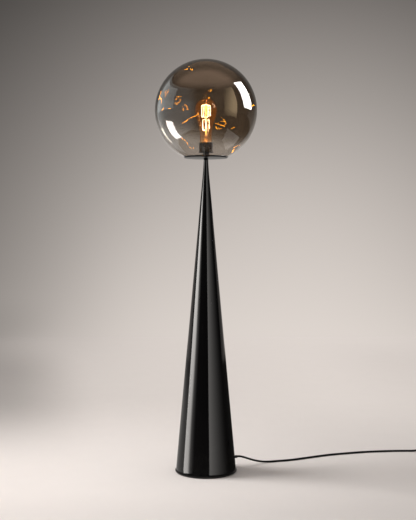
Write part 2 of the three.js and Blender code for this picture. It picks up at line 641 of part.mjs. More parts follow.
function makeBulb() {
  const contactTop = CAP_TIP_BOTTOM + CAP_CONTACT_HEIGHT;
  addPiece('bulb_contact', disc(CAP_CONTACT_RADIUS, CAP_TIP_BOTTOM, contactTop, SIDES.small), zincSteel());
  const insulatorTop = INSULATOR_BOTTOM + CAP_WALL_TAPER;
  addPiece('bulb_insulator', turned([
    [0, INSULATOR_BOTTOM],
    [CAP_TIP_RADIUS, INSULATOR_BOTTOM],
    [CAP_RADIUS - BULB_WALL, insulatorTop],
    [0, insulatorTop],
  ], SIDES.medium), blackGlass());
  addPiece('bulb_cap', turned([
    [0, CAP_BOTTOM],
    [CAP_RADIUS - BULB_WALL, CAP_BOTTOM],
    [CAP_RADIUS, CAP_BOTTOM + BULB_WALL],
    [CAP_RADIUS, CAP_TOP],
    [0, CAP_TOP],
  ], SIDES.medium), brass());
  const inside = bulbProfile(BULB_WALL).reverse();
  addPiece('bulb_glass', turned([...inside, ...bulbProfile(0)], SIDES.medium), amberGlass());

  const stemBottom = GLASS_BOTTOM + SEAT_GAP;
  const stemTop = UPPER_CAGE.top + SPIDER_HUB_HEIGHT;
  const pinch = stemBottom + STEM_FLARE_HEIGHT;
  const flare = bezierPoints(
    [STEM_FLARE_RADIUS, stemBottom],
    [STEM_PINCH_RADIUS, stemBottom + STEM_FLARE_HEIGHT / 4],
    [STEM_PINCH_RADIUS, pinch - STEM_FLARE_HEIGHT / 4],
    [STEM_PINCH_RADIUS, pinch],
    STEPS.curve,
  );
  addPiece('bulb_stem', turned([
    [0, stemBottom],
    ...flare,
    [STEM_ROD_RADIUS, pinch + STEM_PINCH_RADIUS],
    [STEM_ROD_RADIUS, stemTop],
    [0, stemTop],
  ], SIDES.small), amberGlass());
}

// One tier of the cage: an unbroken filament that runs up and down round a ring
function cagePoint(cage, turn, height) {
  const angle = (2 * Math.PI * turn) / cage.runs;
  return new THREE.Vector3(cage.radius * Math.cos(angle), cage.radius * Math.sin(angle), height);
}

function cagePath(cage) {
  const route = new THREE.CurvePath();
  for (let run = 0; run < cage.runs; run += 1) {
    const up = run % 2 === 0;
    const [from, to] = up ? [cage.bottom, cage.top] : [cage.top, cage.bottom];
    const inward = up ? -CAGE_BEND_RISE : CAGE_BEND_RISE;
    const end = cagePoint(cage, run, to + inward);
    route.add(new THREE.LineCurve3(cagePoint(cage, run, from - inward), end));
    if (run < cage.runs - 1) {
      const apex = cagePoint(cage, run + 1 / 2, to - inward);
      route.add(new THREE.QuadraticBezierCurve3(end, apex, cagePoint(cage, run + 1, to + inward)));
    }
  }
  return route;
}

// A hub on the glass rod with a wire to each bend of a tier
function spider(cage, atTop) {
  const side = atTop ? -1 : 1;
  const bend = atTop ? cage.top : cage.bottom;
  const height = bend + side * (FILAMENT_RADIUS + SPIDER_WIRE_RADIUS + SPIDER_CLEARANCE);
  const turns = [];
  for (let turn = atTop ? 1 / 2 : 3 / 2; turn < cage.runs - 1; turn += 2) {
    turns.push(turn);
  }
  const half = SPIDER_HUB_HEIGHT / 2;
  const hub = disc(SPIDER_HUB_RADIUS, height - half, height + half, SIDES.small);
  const wires = turns.map((turn) => {
    const start = cagePoint(cage, turn, height).multiply(new THREE.Vector3(0, 0, 1));
    return rod(start.toArray(), cagePoint(cage, turn, height).toArray(), SPIDER_WIRE_RADIUS, SIDES.tiny);
  });
  const boreRadius = STEM_ROD_RADIUS + BORE_CLEARANCE;
  const bore = disc(boreRadius, height - CUT_OVERRUN, height + CUT_OVERRUN, SIDES.small);
  return cut(join(hub, ...wires), bore);
}

function makeFilaments() {
  const tiers = [['lower_filament', LOWER_CAGE], ['upper_filament', UPPER_CAGE]];
  tiers.forEach(([name, cage], tier) => {
    const steps = cage.runs * STEPS.filamentRun;
    addPiece(name, sweep(cagePath(cage), FILAMENT_RADIUS, SIDES.tiny, steps), glowing());
    [false, true].forEach((atTop, end) => {
      addPiece('filament_spider_' + (2 * tier + end + 1), spider(cage, atTop), zincSteel());
    });
  });
  // Lead-in wires from the pinch of the stem to the two ends of the lower filament
  const pinchHeight = GLASS_BOTTOM + SEAT_GAP + STEM_FLARE_HEIGHT;
  const clear = STEM_PINCH_RADIUS + LEAD_WIRE_RADIUS + SEAT_GAP;
  const reach = FILAMENT_RADIUS + SEAT_GAP;
  [0, LOWER_CAGE.runs - 1].forEach((run, i) => {
    const end = cagePoint(LOWER_CAGE, run, LOWER_CAGE.bottom + CAGE_BEND_RISE - reach);
    const start = cagePoint(LOWER_CAGE, run, 0).multiplyScalar(clear / LOWER_CAGE.radius);
    start.setZ(pinchHeight);
    const wire = rod(start.toArray(), end.toArray(), LEAD_WIRE_RADIUS, SIDES.tiny);
    addPiece('lead_in_wire_' + (i + 1), wire, zincSteel());
  });
}

// Cord over the floor
function cordTube(points) {
  const places = points.map((point) => new THREE.Vector3(...point));
  const route = new THREE.CatmullRomCurve3(places, false, 'centripetal');
  const steps = Math.round(route.getLength() / CORD_STEP);
  return { route, geometry: sweep(route, CORD_RADIUS, CORD_SIDES, steps) };
}

const switchAlong = new THREE.Vector2(Math.cos(SWITCH_TURN), Math.sin(SWITCH_TURN));
// A point on the switch's own axis, so far from the tip of its first bushing
function onSwitchAxis(distance, height) {
  return [SWITCH_START[0] + switchAlong.x * distance, SWITCH_START[1] + switchAlong.y * distance, height];
}
const SWITCH_SPAN = SWITCH_LENGTH + 2 * BUSHING_LENGTH;

function makeCordRun() {
  const exit = new THREE.Vector2(Math.cos(CORD_EXIT_TURN), Math.sin(CORD_EXIT_TURN));
  const tip = RELIEF_TIP + SEAT_GAP;
  const straight = tip + CORD_RADIUS;
  const { geometry, route } = cordTube([
    [exit.x * tip, exit.y * tip, CORD_EXIT_HEIGHT],
    [exit.x * straight, exit.y * straight, CORD_EXIT_HEIGHT],
    ...CORD_RUN,
    onSwitchAxis(-2 * CORD_RADIUS, SWITCH_CORD_HEIGHT),
    onSwitchAxis(-SEAT_GAP, SWITCH_CORD_HEIGHT),
  ]);
  addPiece('cord_run', geometry, blackRubber());
  return route.getLength();
}

// Foot switch, built along +X with its first bushing tip at its own origin
function capsule(length, width, corner) {
  const shape = new THREE.Shape();
  const x = length / 2;
  const y = width / 2;
  shape.moveTo(-x + corner, -y);
  shape.lineTo(x - corner, -y);
  shape.absarc(x - corner, -y + corner, corner, -Math.PI / 2, 0);
  shape.lineTo(x, y - corner);
  shape.absarc(x - corner, y - corner, corner, 0, Math.PI / 2);
  shape.lineTo(-x + corner, y);
  shape.absarc(-x + corner, y - corner, corner, Math.PI / 2, Math.PI);
  shape.lineTo(-x, -y + corner);
  shape.absarc(-x + corner, -y + corner, corner, Math.PI, (3 * Math.PI) / 2);
  return shape;
}

function shellBlock(inset, bottom, top, round = 0) {
  const outline = capsule(
    SWITCH_LENGTH - 2 * (inset + round),
    SWITCH_WIDTH - 2 * (inset + round),
    SWITCH_CORNER_RADIUS - inset - round,
  );
  return new THREE.ExtrudeGeometry(outline, {
    depth: top - bottom - 2 * round,
    curveSegments: STEPS.edge + 1,
    bevelEnabled: round > 0,
    bevelThickness: round,
    bevelSize: round,
    bevelSegments: 2,
  }).translate(0, 0, bottom + round);
}

function bushing(direction, clearance) {
  const wall = SWITCH_LENGTH / 2;
  const inner = wall - SWITCH_WALL - BUSHING_FLANGE_THICKNESS - SEAT_GAP;
  const shoulder = wall - SWITCH_WALL - SEAT_GAP;
  const neck = BUSHING_NECK_RADIUS + clearance;
  const points = clearance
    ? [[0, inner], [neck, inner], [neck, wall + CUT_OVERRUN], [0, wall + CUT_OVERRUN]]
    : [
      [0, inner],
      [BUSHING_FLANGE_RADIUS, inner],
      [BUSHING_FLANGE_RADIUS, shoulder],
      [neck, shoulder],
      [neck, wall],
      ...reliefProfile(wall, wall + BUSHING_LENGTH, neck),
      [0, wall + BUSHING_LENGTH],
    ];
  return turned(points, SIDES.small).rotateY(direction * Math.PI / 2).translate(0, 0, SWITCH_CORD_HEIGHT);
}

function makeSwitch() {
  const housing = new THREE.Group();
  housing.position.set(...onSwitchAxis(SWITCH_SPAN / 2, 0));
  housing.rotation.z = SWITCH_TURN;
  lamp.add(housing);

  const entries = [-1, 1].map((side) => bushing(side, BORE_CLEARANCE));
  const screwX = [-1, 1].map((side) => side * (SWITCH_LENGTH / 2 - SWITCH_SCREW_INSET));
  const screwHole = SWITCH_SCREW_RADIUS + BORE_CLEARANCE;
  const screwHead = SWITCH_SCREW_HEAD_RADIUS + BORE_CLEARANCE;
  const headTop = SEAT_GAP + SWITCH_SCREW_HEAD_HEIGHT;
  const coverInside = SWITCH_HEIGHT - SWITCH_WALL;
  const bossBottom = SWITCH_WALL + SEAT_GAP;

  const hollow = shellBlock(SWITCH_WALL, SWITCH_WALL, SWITCH_SPLIT_HEIGHT + CUT_OVERRUN);
  const screwHoles = screwX.flatMap((x) => [
    disc(screwHead, -CUT_OVERRUN, headTop, SIDES.small).translate(x, 0, 0),
    disc(screwHole, 0, SWITCH_SCREW_LENGTH, SIDES.small).translate(x, 0, 0),
  ]);
  const tray = shellBlock(0, 0, SWITCH_SPLIT_HEIGHT);
  addPiece('switch_base', cut(tray, hollow, ...entries, ...screwHoles), blackPlastic(), housing);

  const coverBottom = SWITCH_SPLIT_HEIGHT + SEAT_GAP;
  const dome = shellBlock(0, coverBottom - SWITCH_EDGE_ROUND, SWITCH_HEIGHT, SWITCH_EDGE_ROUND);
  const under = box(SWITCH_LENGTH + CUT_OVERRUN, SWITCH_WIDTH + CUT_OVERRUN, -CUT_OVERRUN, coverBottom);
  const cavity = shellBlock(SWITCH_WALL, 0, coverInside);
  const buttonBore = BUTTON_RADIUS + BORE_CLEARANCE;
  const buttonHole = disc(buttonBore, SWITCH_SPLIT_HEIGHT, SWITCH_HEIGHT + CUT_OVERRUN, SIDES.medium);
  const shell = cut(dome, under, cavity, buttonHole, ...entries);
  const bossTop = coverInside + SWITCH_WALL / 2;
  const boss = (x) => disc(SWITCH_BOSS_RADIUS, bossBottom, bossTop, SIDES.small).translate(x, 0, 0);
  const bosses = screwX.map(boss);
  const pilotTop = SWITCH_SCREW_LENGTH + SEAT_GAP;
  const pilots = screwX.map((x) => disc(screwHole, 0, pilotTop, SIDES.small).translate(x, 0, 0));
  addPiece('switch_cover', cut(join(shell, ...bosses), ...pilots), blackPlastic(), housing);

  screwX.forEach((x, i) => {
    const screw = turned([
      [0, SEAT_GAP],
      [SWITCH_SCREW_HEAD_RADIUS, SEAT_GAP],
      [SWITCH_SCREW_HEAD_RADIUS, headTop - SEAT_GAP],
      [SWITCH_SCREW_RADIUS, headTop - SEAT_GAP],
      [SWITCH_SCREW_RADIUS, SWITCH_SCREW_LENGTH - SEAT_GAP],
      [0, SWITCH_SCREW_LENGTH - SEAT_GAP],
    ], SIDES.small).translate(x, 0, 0);
    addPiece('switch_screw_' + (i + 1), screw, zincSteel(), housing);
  });
  [-1, 1].forEach((side, i) => {
    addPiece('switch_bushing_' + (i + 1), bushing(side, 0), blackRubber(), housing);
  });

  const flangeTop = coverInside - SEAT_GAP;
  const flangeBottom = flangeTop - BUTTON_FLANGE_THICKNESS;
  const buttonTop = SWITCH_HEIGHT + BUTTON_STAND;
  const edge = BUTTON_EDGE_ROUND;
  addPiece('switch_button', turned([
    [0, flangeBottom - PLUNGER_LENGTH],
    [PLUNGER_RADIUS, flangeBottom - PLUNGER_LENGTH],
    [PLUNGER_RADIUS, flangeBottom],
    [BUTTON_RADIUS + BUTTON_FLANGE_WIDTH, flangeBottom],
    [BUTTON_RADIUS + BUTTON_FLANGE_WIDTH, flangeTop],
    [BUTTON_RADIUS, flangeTop],
    ...arcPoints(BUTTON_RADIUS - edge, buttonTop - BUTTON_DOME - edge, edge, 0, Math.PI / 2, STEPS.edge),
    [0, buttonTop],
  ], SIDES.medium), blackPlastic(), housing);

  const blockTop = flangeBottom - BUTTON_TRAVEL - BLOCK_CLEARANCE;
  const plungerLow = flangeBottom - PLUNGER_LENGTH - BUTTON_TRAVEL - BLOCK_CLEARANCE;
  const plungerBore = disc(PLUNGER_RADIUS + BLOCK_CLEARANCE, plungerLow, blockTop + CUT_OVERRUN, SIDES.small);
  const block = box(BLOCK_LENGTH, BLOCK_WIDTH, SWITCH_WALL + SEAT_GAP, blockTop);
  addPiece('switch_block', cut(block, plungerBore), ceramic(), housing);
}

// The coil spirals in on the floor, climbs a layer in the half turn where it reverses,
// and spirals out again on top.
const coilStart = new THREE.Vector3(...onSwitchAxis(SWITCH_SPAN + SEAT_GAP, SWITCH_CORD_HEIGHT));
const leadStraight = new THREE.Vector3(...onSwitchAxis(SWITCH_SPAN + 2 * CORD_RADIUS, SWITCH_CORD_HEIGHT));
const approachCentre = new THREE.Vector2(
  leadStraight.x + switchAlong.y * COIL_APPROACH_RADIUS,
  leadStraight.y - switchAlong.x * COIL_APPROACH_RADIUS,
);
const COIL_HEIGHT = CORD_RADIUS + TIE_THICKNESS + SEAT_GAP;
const COIL_CENTRE = new THREE.Vector2(
  approachCentre.x + COIL_APPROACH_RADIUS - COIL_OUTER_RADIUS,
  approachCentre.y - COIL_APPROACH_LENGTH,
);

function coilPoint(turn) {
  const middle = COIL_TURNS / 2;
  const radius = COIL_OUTER_RADIUS - COIL_PITCH * (middle - Math.abs(turn - middle));
  const climb = THREE.MathUtils.smoothstep(turn, middle - 1 / 4, middle + 1 / 4);
  const angle = -2 * Math.PI * turn;
  return new THREE.Vector3(
    COIL_CENTRE.x + radius * Math.cos(angle),
    COIL_CENTRE.y + radius * Math.sin(angle),
    COIL_HEIGHT + COIL_PITCH * climb,
  );
}

function coilCentreline() {
  const steps = COIL_TURNS * COIL_STEPS_PER_TURN;
  const turns = Array.from({ length: steps + 1 }, (_, i) => coilPoint((COIL_TURNS * i) / steps));
  const straight = new THREE.Vector3(0, 2 * CORD_RADIUS, 0);
  return [turns[0].clone().add(straight), ...turns, turns[steps].clone().sub(straight)];
}

// A closed tube of flat-sided rings, square to the line at each point
function tubeOf(line, radius, sides) {
  const up = new THREE.Vector3(0, 0, 1);
  const positions = [];
  const index = [];
  line.forEach((point, i) => {
    const ahead = line[Math.min(i + 1, line.length - 1)];
    const behind = line[Math.max(i - 1, 0)];
    const along = ahead.clone().sub(behind).normalize();
    const side = along.clone().cross(up).normalize();
    const top = side.clone().cross(along);
    for (let k = 0; k < sides; k += 1) {
      const angle = (2 * Math.PI * (k + 1 / 2)) / sides;
      const corner = point.clone().addScaledVector(side, radius * Math.cos(angle));
      corner.addScaledVector(top, radius * Math.sin(angle));
      positions.push(...corner.toArray());
    }
  });
  for (let i = 0; i < line.length - 1; i += 1) {
    for (let k = 0; k < sides; k += 1) {
      const a = i * sides + k;
      const b = i * sides + ((k + 1) % sides);
      index.push(a, b + sides, b, a, a + sides, b + sides);
    }
  }
  const last = (line.length - 1) * sides;
  for (let k = 1; k < sides - 1; k += 1) {
    index.push(0, k, k + 1);
    index.push(last, last + k + 1, last + k);
  }
  const geometry = new THREE.BufferGeometry();
  geometry.setAttribute('position', new THREE.Float32BufferAttribute(positions, 3));
  geometry.setIndex(index);
  geometry.computeVertexNormals();
  return geometry;
}

// The least free space between two stretches of a tube that aren't neighbours on it
function leastSelfGap(line, radius) {
  const apart = COIL_STEPS_PER_TURN / 3;
  let least = Infinity;
  line.forEach((a, i) => {
    for (let j = i + apart; j < line.length - 1; j += 1) {
      const stretch = new THREE.Line3(line[j], line[j + 1]);
      least = Math.min(least, stretch.closestPointToPoint(a, true, new THREE.Vector3()).distanceTo(a));
    }
  });
  return least - 2 * radius;
}

function makeCoil() {
  const coil = coilCentreline();
  console.log('cord_coil: least gap to itself ' + leastSelfGap(coil, CORD_RADIUS).toFixed(2) + ' mm');
  addPiece('cord_coil', tubeOf(coil, CORD_RADIUS, COIL_SIDES), blackRubber());

  // From the switch round to the coil
  const first = SWITCH_TURN + Math.PI / 2;
  const bend = Array.from({ length: STEPS.cordBend + 1 }, (_, i) => {
    const angle = first - (first * i) / STEPS.cordBend;
    const share = i / (STEPS.cordBend + 1);
    return [
      approachCentre.x + COIL_APPROACH_RADIUS * Math.cos(angle),
      approachCentre.y + COIL_APPROACH_RADIUS * Math.sin(angle),
      SWITCH_CORD_HEIGHT + (COIL_HEIGHT - SWITCH_CORD_HEIGHT) * share,
    ];
  });
  const meet = coil[0].clone().add(new THREE.Vector3(0, SEAT_GAP, 0));
  const lead = cordTube([
    coilStart.toArray(),
    coilStart.clone().lerp(leadStraight, 1 / 2).toArray(),
    ...bend,
    [meet.x, meet.y + CORD_RADIUS, meet.z],
    meet.toArray(),
  ]);
  addPiece('cord_lead', lead.geometry, blackRubber());

  // A strap round the bundle of turns on the side away from the start
  const half = COIL_TURNS / 2;
  const radii = [COIL_OUTER_RADIUS - COIL_PITCH * half, COIL_OUTER_RADIUS];
  const inner = radii[0] - CORD_RADIUS - SEAT_GAP;
  const outer = radii[1] + CORD_RADIUS + SEAT_GAP;
  const low = COIL_HEIGHT - CORD_RADIUS - SEAT_GAP;
  const high = COIL_HEIGHT + COIL_PITCH + CORD_RADIUS + SEAT_GAP;
  const strap = cut(
    new THREE.BoxGeometry(outer - inner + 2 * TIE_THICKNESS, TIE_WIDTH, high - low + 2 * TIE_THICKNESS),
    new THREE.BoxGeometry(outer - inner, TIE_WIDTH + CUT_OVERRUN, high - low),
  ).translate((outer + inner) / 2, 0, (high + low) / 2);
  const tie = addPiece('cord_tie', strap, blackPlastic());
  tie.rotation.z = -Math.PI / 2;
  tie.position.set(COIL_CENTRE.x, COIL_CENTRE.y, 0);
  return { coil, lead: lead.route.getLength() };
}

// The tail leaves the top layer, comes down to the floor and ends in the plug
function makePlug(coil) {
  const leave = coil[coil.length - 1];
  const cordHeight = PLUG_THICKNESS / 2;
  const centre = new THREE.Vector2(leave.x - TAIL_BEND_RADIUS, leave.y - TAIL_STRAIGHT);
  const heightShares = [0.95, 0.75, 0.45, 0.15, 0.02, 0];
  const bend = heightShares.map((heightShare, i) => {
    const angle = (-Math.PI / 2) * (i / (heightShares.length - 1));
    return [
      centre.x + TAIL_BEND_RADIUS * Math.cos(angle),
      centre.y + TAIL_BEND_RADIUS * Math.sin(angle),
      CORD_RADIUS + (leave.z - CORD_RADIUS) * heightShare,
    ];
  });
  const tailY = centre.y - TAIL_BEND_RADIUS;
  const tip = centre.x - TAIL_END_LENGTH;
  const tail = cordTube([
    [leave.x, leave.y - SEAT_GAP, leave.z],
    [leave.x, leave.y - SEAT_GAP - CORD_RADIUS, leave.z],
    ...bend,
    [tip + TAIL_END_LENGTH / 2, tailY, CORD_RADIUS + (cordHeight - CORD_RADIUS) / 2],
    [tip + 2 * CORD_RADIUS, tailY, cordHeight],
    [tip + SEAT_GAP, tailY, cordHeight],
  ]);
  addPiece('cord_tail', tail.geometry, blackRubber());

  const plug = new THREE.Group();
  plug.position.set(tip, tailY, cordHeight);
  plug.rotation.z = Math.PI; // its own +X points out of the pins
  lamp.add(plug);
  const relief = turned([
    [0, 0],
    ...reliefProfile(PLUG_RELIEF_LENGTH, 0, RELIEF_ROOT_RADIUS).reverse(),
    [0, PLUG_RELIEF_LENGTH],
  ], SIDES.small).rotateY(Math.PI / 2);
  addPiece('plug_relief', relief, blackRubber(), plug);

  const round = PLUG_EDGE_ROUND;
  const back = PLUG_RELIEF_LENGTH + SEAT_GAP + round;
  const front = back + PLUG_LENGTH - 2 * round;
  const backHalf = PLUG_BACK_WIDTH / 2 - round;
  const frontHalf = PLUG_WIDTH / 2 - round;
  const outline = new THREE.Shape([
    new THREE.Vector2(back, -backHalf),
    new THREE.Vector2(back + PLUG_SHOULDER_LENGTH, -frontHalf),
    new THREE.Vector2(front, -frontHalf),
    new THREE.Vector2(front, frontHalf),
    new THREE.Vector2(back + PLUG_SHOULDER_LENGTH, frontHalf),
    new THREE.Vector2(back, backHalf),
  ]);
  const body = new THREE.ExtrudeGeometry(outline, {
    depth: PLUG_THICKNESS - 2 * round,
    bevelEnabled: true,
    bevelThickness: round,
    bevelSize: round,
    bevelSegments: 3,
  }).translate(0, 0, -PLUG_THICKNESS / 2 + round);
  addPiece('plug_body', body, blackPlastic(), plug);

  const face = front + round + SEAT_GAP;
  [-1, 1].forEach((side, i) => {
    const pin = turned([
      [0, face],
      [PIN_RADIUS, face],
      [PIN_RADIUS, face + PIN_LENGTH - PIN_RADIUS / 2],
      [PIN_RADIUS / 2, face + PIN_LENGTH],
      [0, face + PIN_LENGTH],
    ], SIDES.small).rotateY(Math.PI / 2).translate(0, (side * PIN_SPACING) / 2, 0);
    addPiece('plug_pin_' + (i + 1), pin, brass(), plug);
  });
  return tail.route.getLength();
}

makeFoot();
makeTieTube();
makeCone();
makeInnerLead();
makeSeat();
makeGlobe();
makeLampholder();
makeBulb();
makeFilaments();
const runLength = makeCordRun();
makeSwitch();
const { coil, lead } = makeCoil();
const coilLength = coil.slice(1).reduce((sum, point, i) => sum + point.distanceTo(coil[i]), 0);
const tailLength = makePlug(coil);
const cordLength = runLength + SWITCH_SPAN + lead + coilLength + tailLength;
console.log('free cord: ' + cordLength.toFixed(0) + ' mm from the strain relief to the plug');

export default lamp;
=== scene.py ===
# %% [markdown]
# # A globe floor lamp
# A smoked-glass globe stands on the tip of a tall gloss-black cone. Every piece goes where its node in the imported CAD
# model already is. The lamp is drawn in millimetres and MM turns them into Blender's metres; the studio round it is
# laid out in metres.

# %% Load the frame
from math import asin, atan2, cos, e, pi, radians, sin, tau

import bmesh
import bpy
from mathutils import Matrix, Vector
from mathutils.geometry import interpolate_bezier


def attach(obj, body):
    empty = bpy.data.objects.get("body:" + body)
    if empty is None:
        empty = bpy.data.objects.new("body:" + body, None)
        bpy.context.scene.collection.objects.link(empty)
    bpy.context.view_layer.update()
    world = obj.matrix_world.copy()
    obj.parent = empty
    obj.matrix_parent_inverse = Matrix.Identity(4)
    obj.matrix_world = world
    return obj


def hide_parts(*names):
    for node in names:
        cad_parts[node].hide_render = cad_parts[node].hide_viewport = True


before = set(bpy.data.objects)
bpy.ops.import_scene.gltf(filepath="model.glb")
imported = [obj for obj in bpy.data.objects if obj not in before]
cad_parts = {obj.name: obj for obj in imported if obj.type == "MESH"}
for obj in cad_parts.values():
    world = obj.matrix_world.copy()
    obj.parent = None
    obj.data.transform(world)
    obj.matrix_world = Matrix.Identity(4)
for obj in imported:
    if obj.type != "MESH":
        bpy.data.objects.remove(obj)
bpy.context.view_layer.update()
MM = 0.001


def linked(name, data):
    made = bpy.data.objects.new(name, data)
    bpy.context.scene.collection.objects.link(made)
    return made

# %% [markdown]
# The photograph was taken from 2.8 m away and 0.7 m up with a long lens, looking down a little. Lens and place were
# found from the sizes of the globe, the cone and the foot's ellipse.

# %% Camera
LOOK_DOWN = 0.03
camera_data = bpy.data.cameras.new("camera")
camera_data.sensor_width = 36
camera_data.lens = 66.1
camera = linked("camera", camera_data)
camera.location = (0.006, -2.805, 0.709)
camera.rotation_euler = (pi / 2 - LOOK_DOWN, 0, 0)
bpy.context.scene.camera = camera
print("camera", tuple(camera.location), "lens", camera_data.lens, "mm")

# %% [markdown]
# The mains cord leaves the cone at the right-hand back, drops to the floor and lies in a shallow curve. Past the
# picture's edge it runs into a foot switch whose own axis is turned a little.

# %% Route of the cord to the switch
CORD_RADIUS = 3
CORD_RUN = [
    (90, 51.96, 31), (95.89, 55.36, 31), (98.23, 56.71, 31),
    (108, 62.4, 28.4), (121, 69.6, 23.2), (134, 77, 17.4), (146.5, 84, 12.4),
    (160, 90.5, 8.2), (177, 98, 4.6), (196, 105.5, 3.1), (218, 112.5, 3), (246.5, 121, 3),
    (282, 136.8, 3), (305, 150, 3), (335, 166.5, 3), (378.6, 189.5, 3), (415, 204.5, 3),
    (448.5, 216, 3), (509, 233.8, 3), (570, 244.6, 3), (612, 248.6, 3), (645, 249.4, 3),
    (668, 247.5, 3.8),
]
SWITCH_START, SWITCH_TURN, SWITCH_SPAN, SWITCH_CORD_HEIGHT = (697, 240.3), radians(-20), 124, 8.1


def on_switch_axis(distance):
    """So far from the tip of its first bushing."""
    return (SWITCH_START[0] + cos(SWITCH_TURN) * distance,
            SWITCH_START[1] + sin(SWITCH_TURN) * distance, SWITCH_CORD_HEIGHT)


print("switch from", SWITCH_START, "to", [round(v, 1) for v in on_switch_axis(SWITCH_SPAN)[:2]], "mm")

# %% [markdown]
# The spare cord spirals in on the floor, climbs a layer half-way and spirals out on top, so it never runs through
# itself. One bend leads into the coil and one leads out of it to the plug.

# %% Route of the coil and its ends
COIL_TURNS, COIL_STEPS, COIL_RADIUS, COIL_PITCH, COIL_HEIGHT = 5, 24, 41, 6.6, 4.1
LEAD_RADIUS, LEAD_TURN, LEAD_RISE, LEAD_STEPS = 40, radians(70), 24, 5
TAIL_RADIUS, TAIL_DROP, TAIL_RUN, PLUG_HEIGHT = 62, 16, 40, 6.85
COIL_JOIN = 6
bend_start = on_switch_axis(SWITCH_SPAN + 6)
LEAD_CENTRE = (bend_start[0] + sin(SWITCH_TURN) * LEAD_RADIUS,
               bend_start[1] - cos(SWITCH_TURN) * LEAD_RADIUS)
COIL_CENTRE = (LEAD_CENTRE[0] + LEAD_RADIUS - COIL_RADIUS, LEAD_CENTRE[1] - LEAD_RISE)


def on_circle(centre, radius, angle, height):
    return (centre[0] + radius * cos(angle), centre[1] + radius * sin(angle), height)


def coil_point(turn):
    middle = COIL_TURNS / 2
    radius = COIL_RADIUS - COIL_PITCH * (middle - abs(turn - middle))
    share = min(max((turn - middle) * 2 + 0.5, 0), 1)
    climb = share * share * (3 - 2 * share)
    return on_circle(COIL_CENTRE, radius, -tau * turn, COIL_HEIGHT + COIL_PITCH * climb)


coil = [coil_point(i / COIL_STEPS) for i in range(COIL_STEPS * COIL_TURNS + 1)]
first, last = coil[0], coil[-1]
lead = [on_switch_axis(SWITCH_SPAN - 1), on_switch_axis(SWITCH_SPAN + 3)]
for i in range(LEAD_STEPS):
    height = SWITCH_CORD_HEIGHT + (COIL_HEIGHT - SWITCH_CORD_HEIGHT) * i / LEAD_STEPS
    lead.append(on_circle(LEAD_CENTRE, LEAD_RADIUS, LEAD_TURN * (1 - i / (LEAD_STEPS - 1)), height))
lead.append((first[0], first[1] + COIL_JOIN, first[2]))

TAIL_CENTRE = (last[0] - TAIL_RADIUS, last[1] - TAIL_DROP)
PLUG_TIP = (TAIL_CENTRE[0] - TAIL_RUN, TAIL_CENTRE[1] - TAIL_RADIUS)
tail = [(last[0], last[1] - COIL_JOIN, last[2])]
for i, share in enumerate((0.95, 0.75, 0.45, 0.15, 0.02, 0)):
    height = CORD_RADIUS + (last[2] - CORD_RADIUS) * share
    tail.append(on_circle(TAIL_CENTRE, TAIL_RADIUS, -pi / 2 * i / 5, height))
for run, height in ((20, 4.925), (6, PLUG_HEIGHT), (-1.5, PLUG_HEIGHT)):
    tail.append((PLUG_TIP[0] + run, PLUG_TIP[1], height))
print("coil of", COIL_TURNS, "turns at", [round(v, 1) for v in COIL_CENTRE], "mm")

# %% [markdown]
# A cord is one spline with a round bevel, so it keeps its section along every bend. The same helper makes the fine
# wires inside the bulb, straight from point to point.

# %% Cords
def tube(name, points, radius, kind="BEZIER", sides=5):
    """A round cord or wire through points in millimetres: smooth as BEZIER, straight as POLY."""
    data = bpy.data.curves.new(name, "CURVE")
    data.dimensions = "3D"
    data.resolution_u = 6
    data.bevel_depth = radius * MM
    data.bevel_resolution = sides
    data.use_fill_caps = True
    spline = data.splines.new(kind)
    smooth = kind == "BEZIER"
    knots = spline.bezier_points if smooth else spline.points
    knots.add(len(points) - 1)
    for knot, point in zip(knots, points):
        place = Vector(point) * MM
        knot.co = place if smooth else (*place, 1)
        if smooth:
            knot.handle_left_type = knot.handle_right_type = "AUTO"
    return linked(name, data)


mains_cord = tube("mains_cord", CORD_RUN + [on_switch_axis(-6), on_switch_axis(1)], CORD_RADIUS)
plug_cord = tube("plug_cord", lead + coil + tail, CORD_RADIUS)
bpy.context.view_layer.update()
for cord in (mains_cord, plug_cord):
    spline = cord.data.splines[0]
    print(cord.name, "length %.1f mm" % (spline.calc_length() / MM), "in", len(spline.bezier_points), "points")

# %% [markdown]
# ## Finishes
# Wiring nodes by hand hides the sum that they do, so a socket is wrapped in a class whose operators add the Math
# nodes: `1 - dust * 0.5` reads as on paper. Colours go through Mix, because Math turns them grey.

# %% Shader sums as plain expressions
def sum_node(operation, swapped=False):
    """An operator that adds one Math node; swapped where a plain number stands first."""
    def add(self, other):
        first, second = (other, self) if swapped else (self, other)
        return self.recipe.node("Math", {"operation": operation}, {0: first, 1: second})
    return add


class Value:
    __add__, __radd__ = sum_node("ADD"), sum_node("ADD", swapped=True)
    __sub__, __rsub__ = sum_node("SUBTRACT"), sum_node("SUBTRACT", swapped=True)
    __mul__, __rmul__ = sum_node("MULTIPLY"), sum_node("MULTIPLY", swapped=True)
    __truediv__, __rtruediv__ = sum_node("DIVIDE"), sum_node("DIVIDE", swapped=True)
    __pow__, __rpow__ = sum_node("POWER"), sum_node("POWER", swapped=True)
    angle_from = sum_node("ARCTAN2")

    def __init__(self, recipe, socket):
        self.recipe = recipe
        self.socket = socket

    def step(self, low, high, to_low=0.0, to_high=1.0, shape="SMOOTHSTEP"):
        """From to_low to to_high as this value goes from low to high, soft or straight."""
        settings = {"interpolation_type": shape}
        return self.recipe.node("MapRange", settings, {0: self, 1: low, 2: high, 3: to_low, 4: to_high})


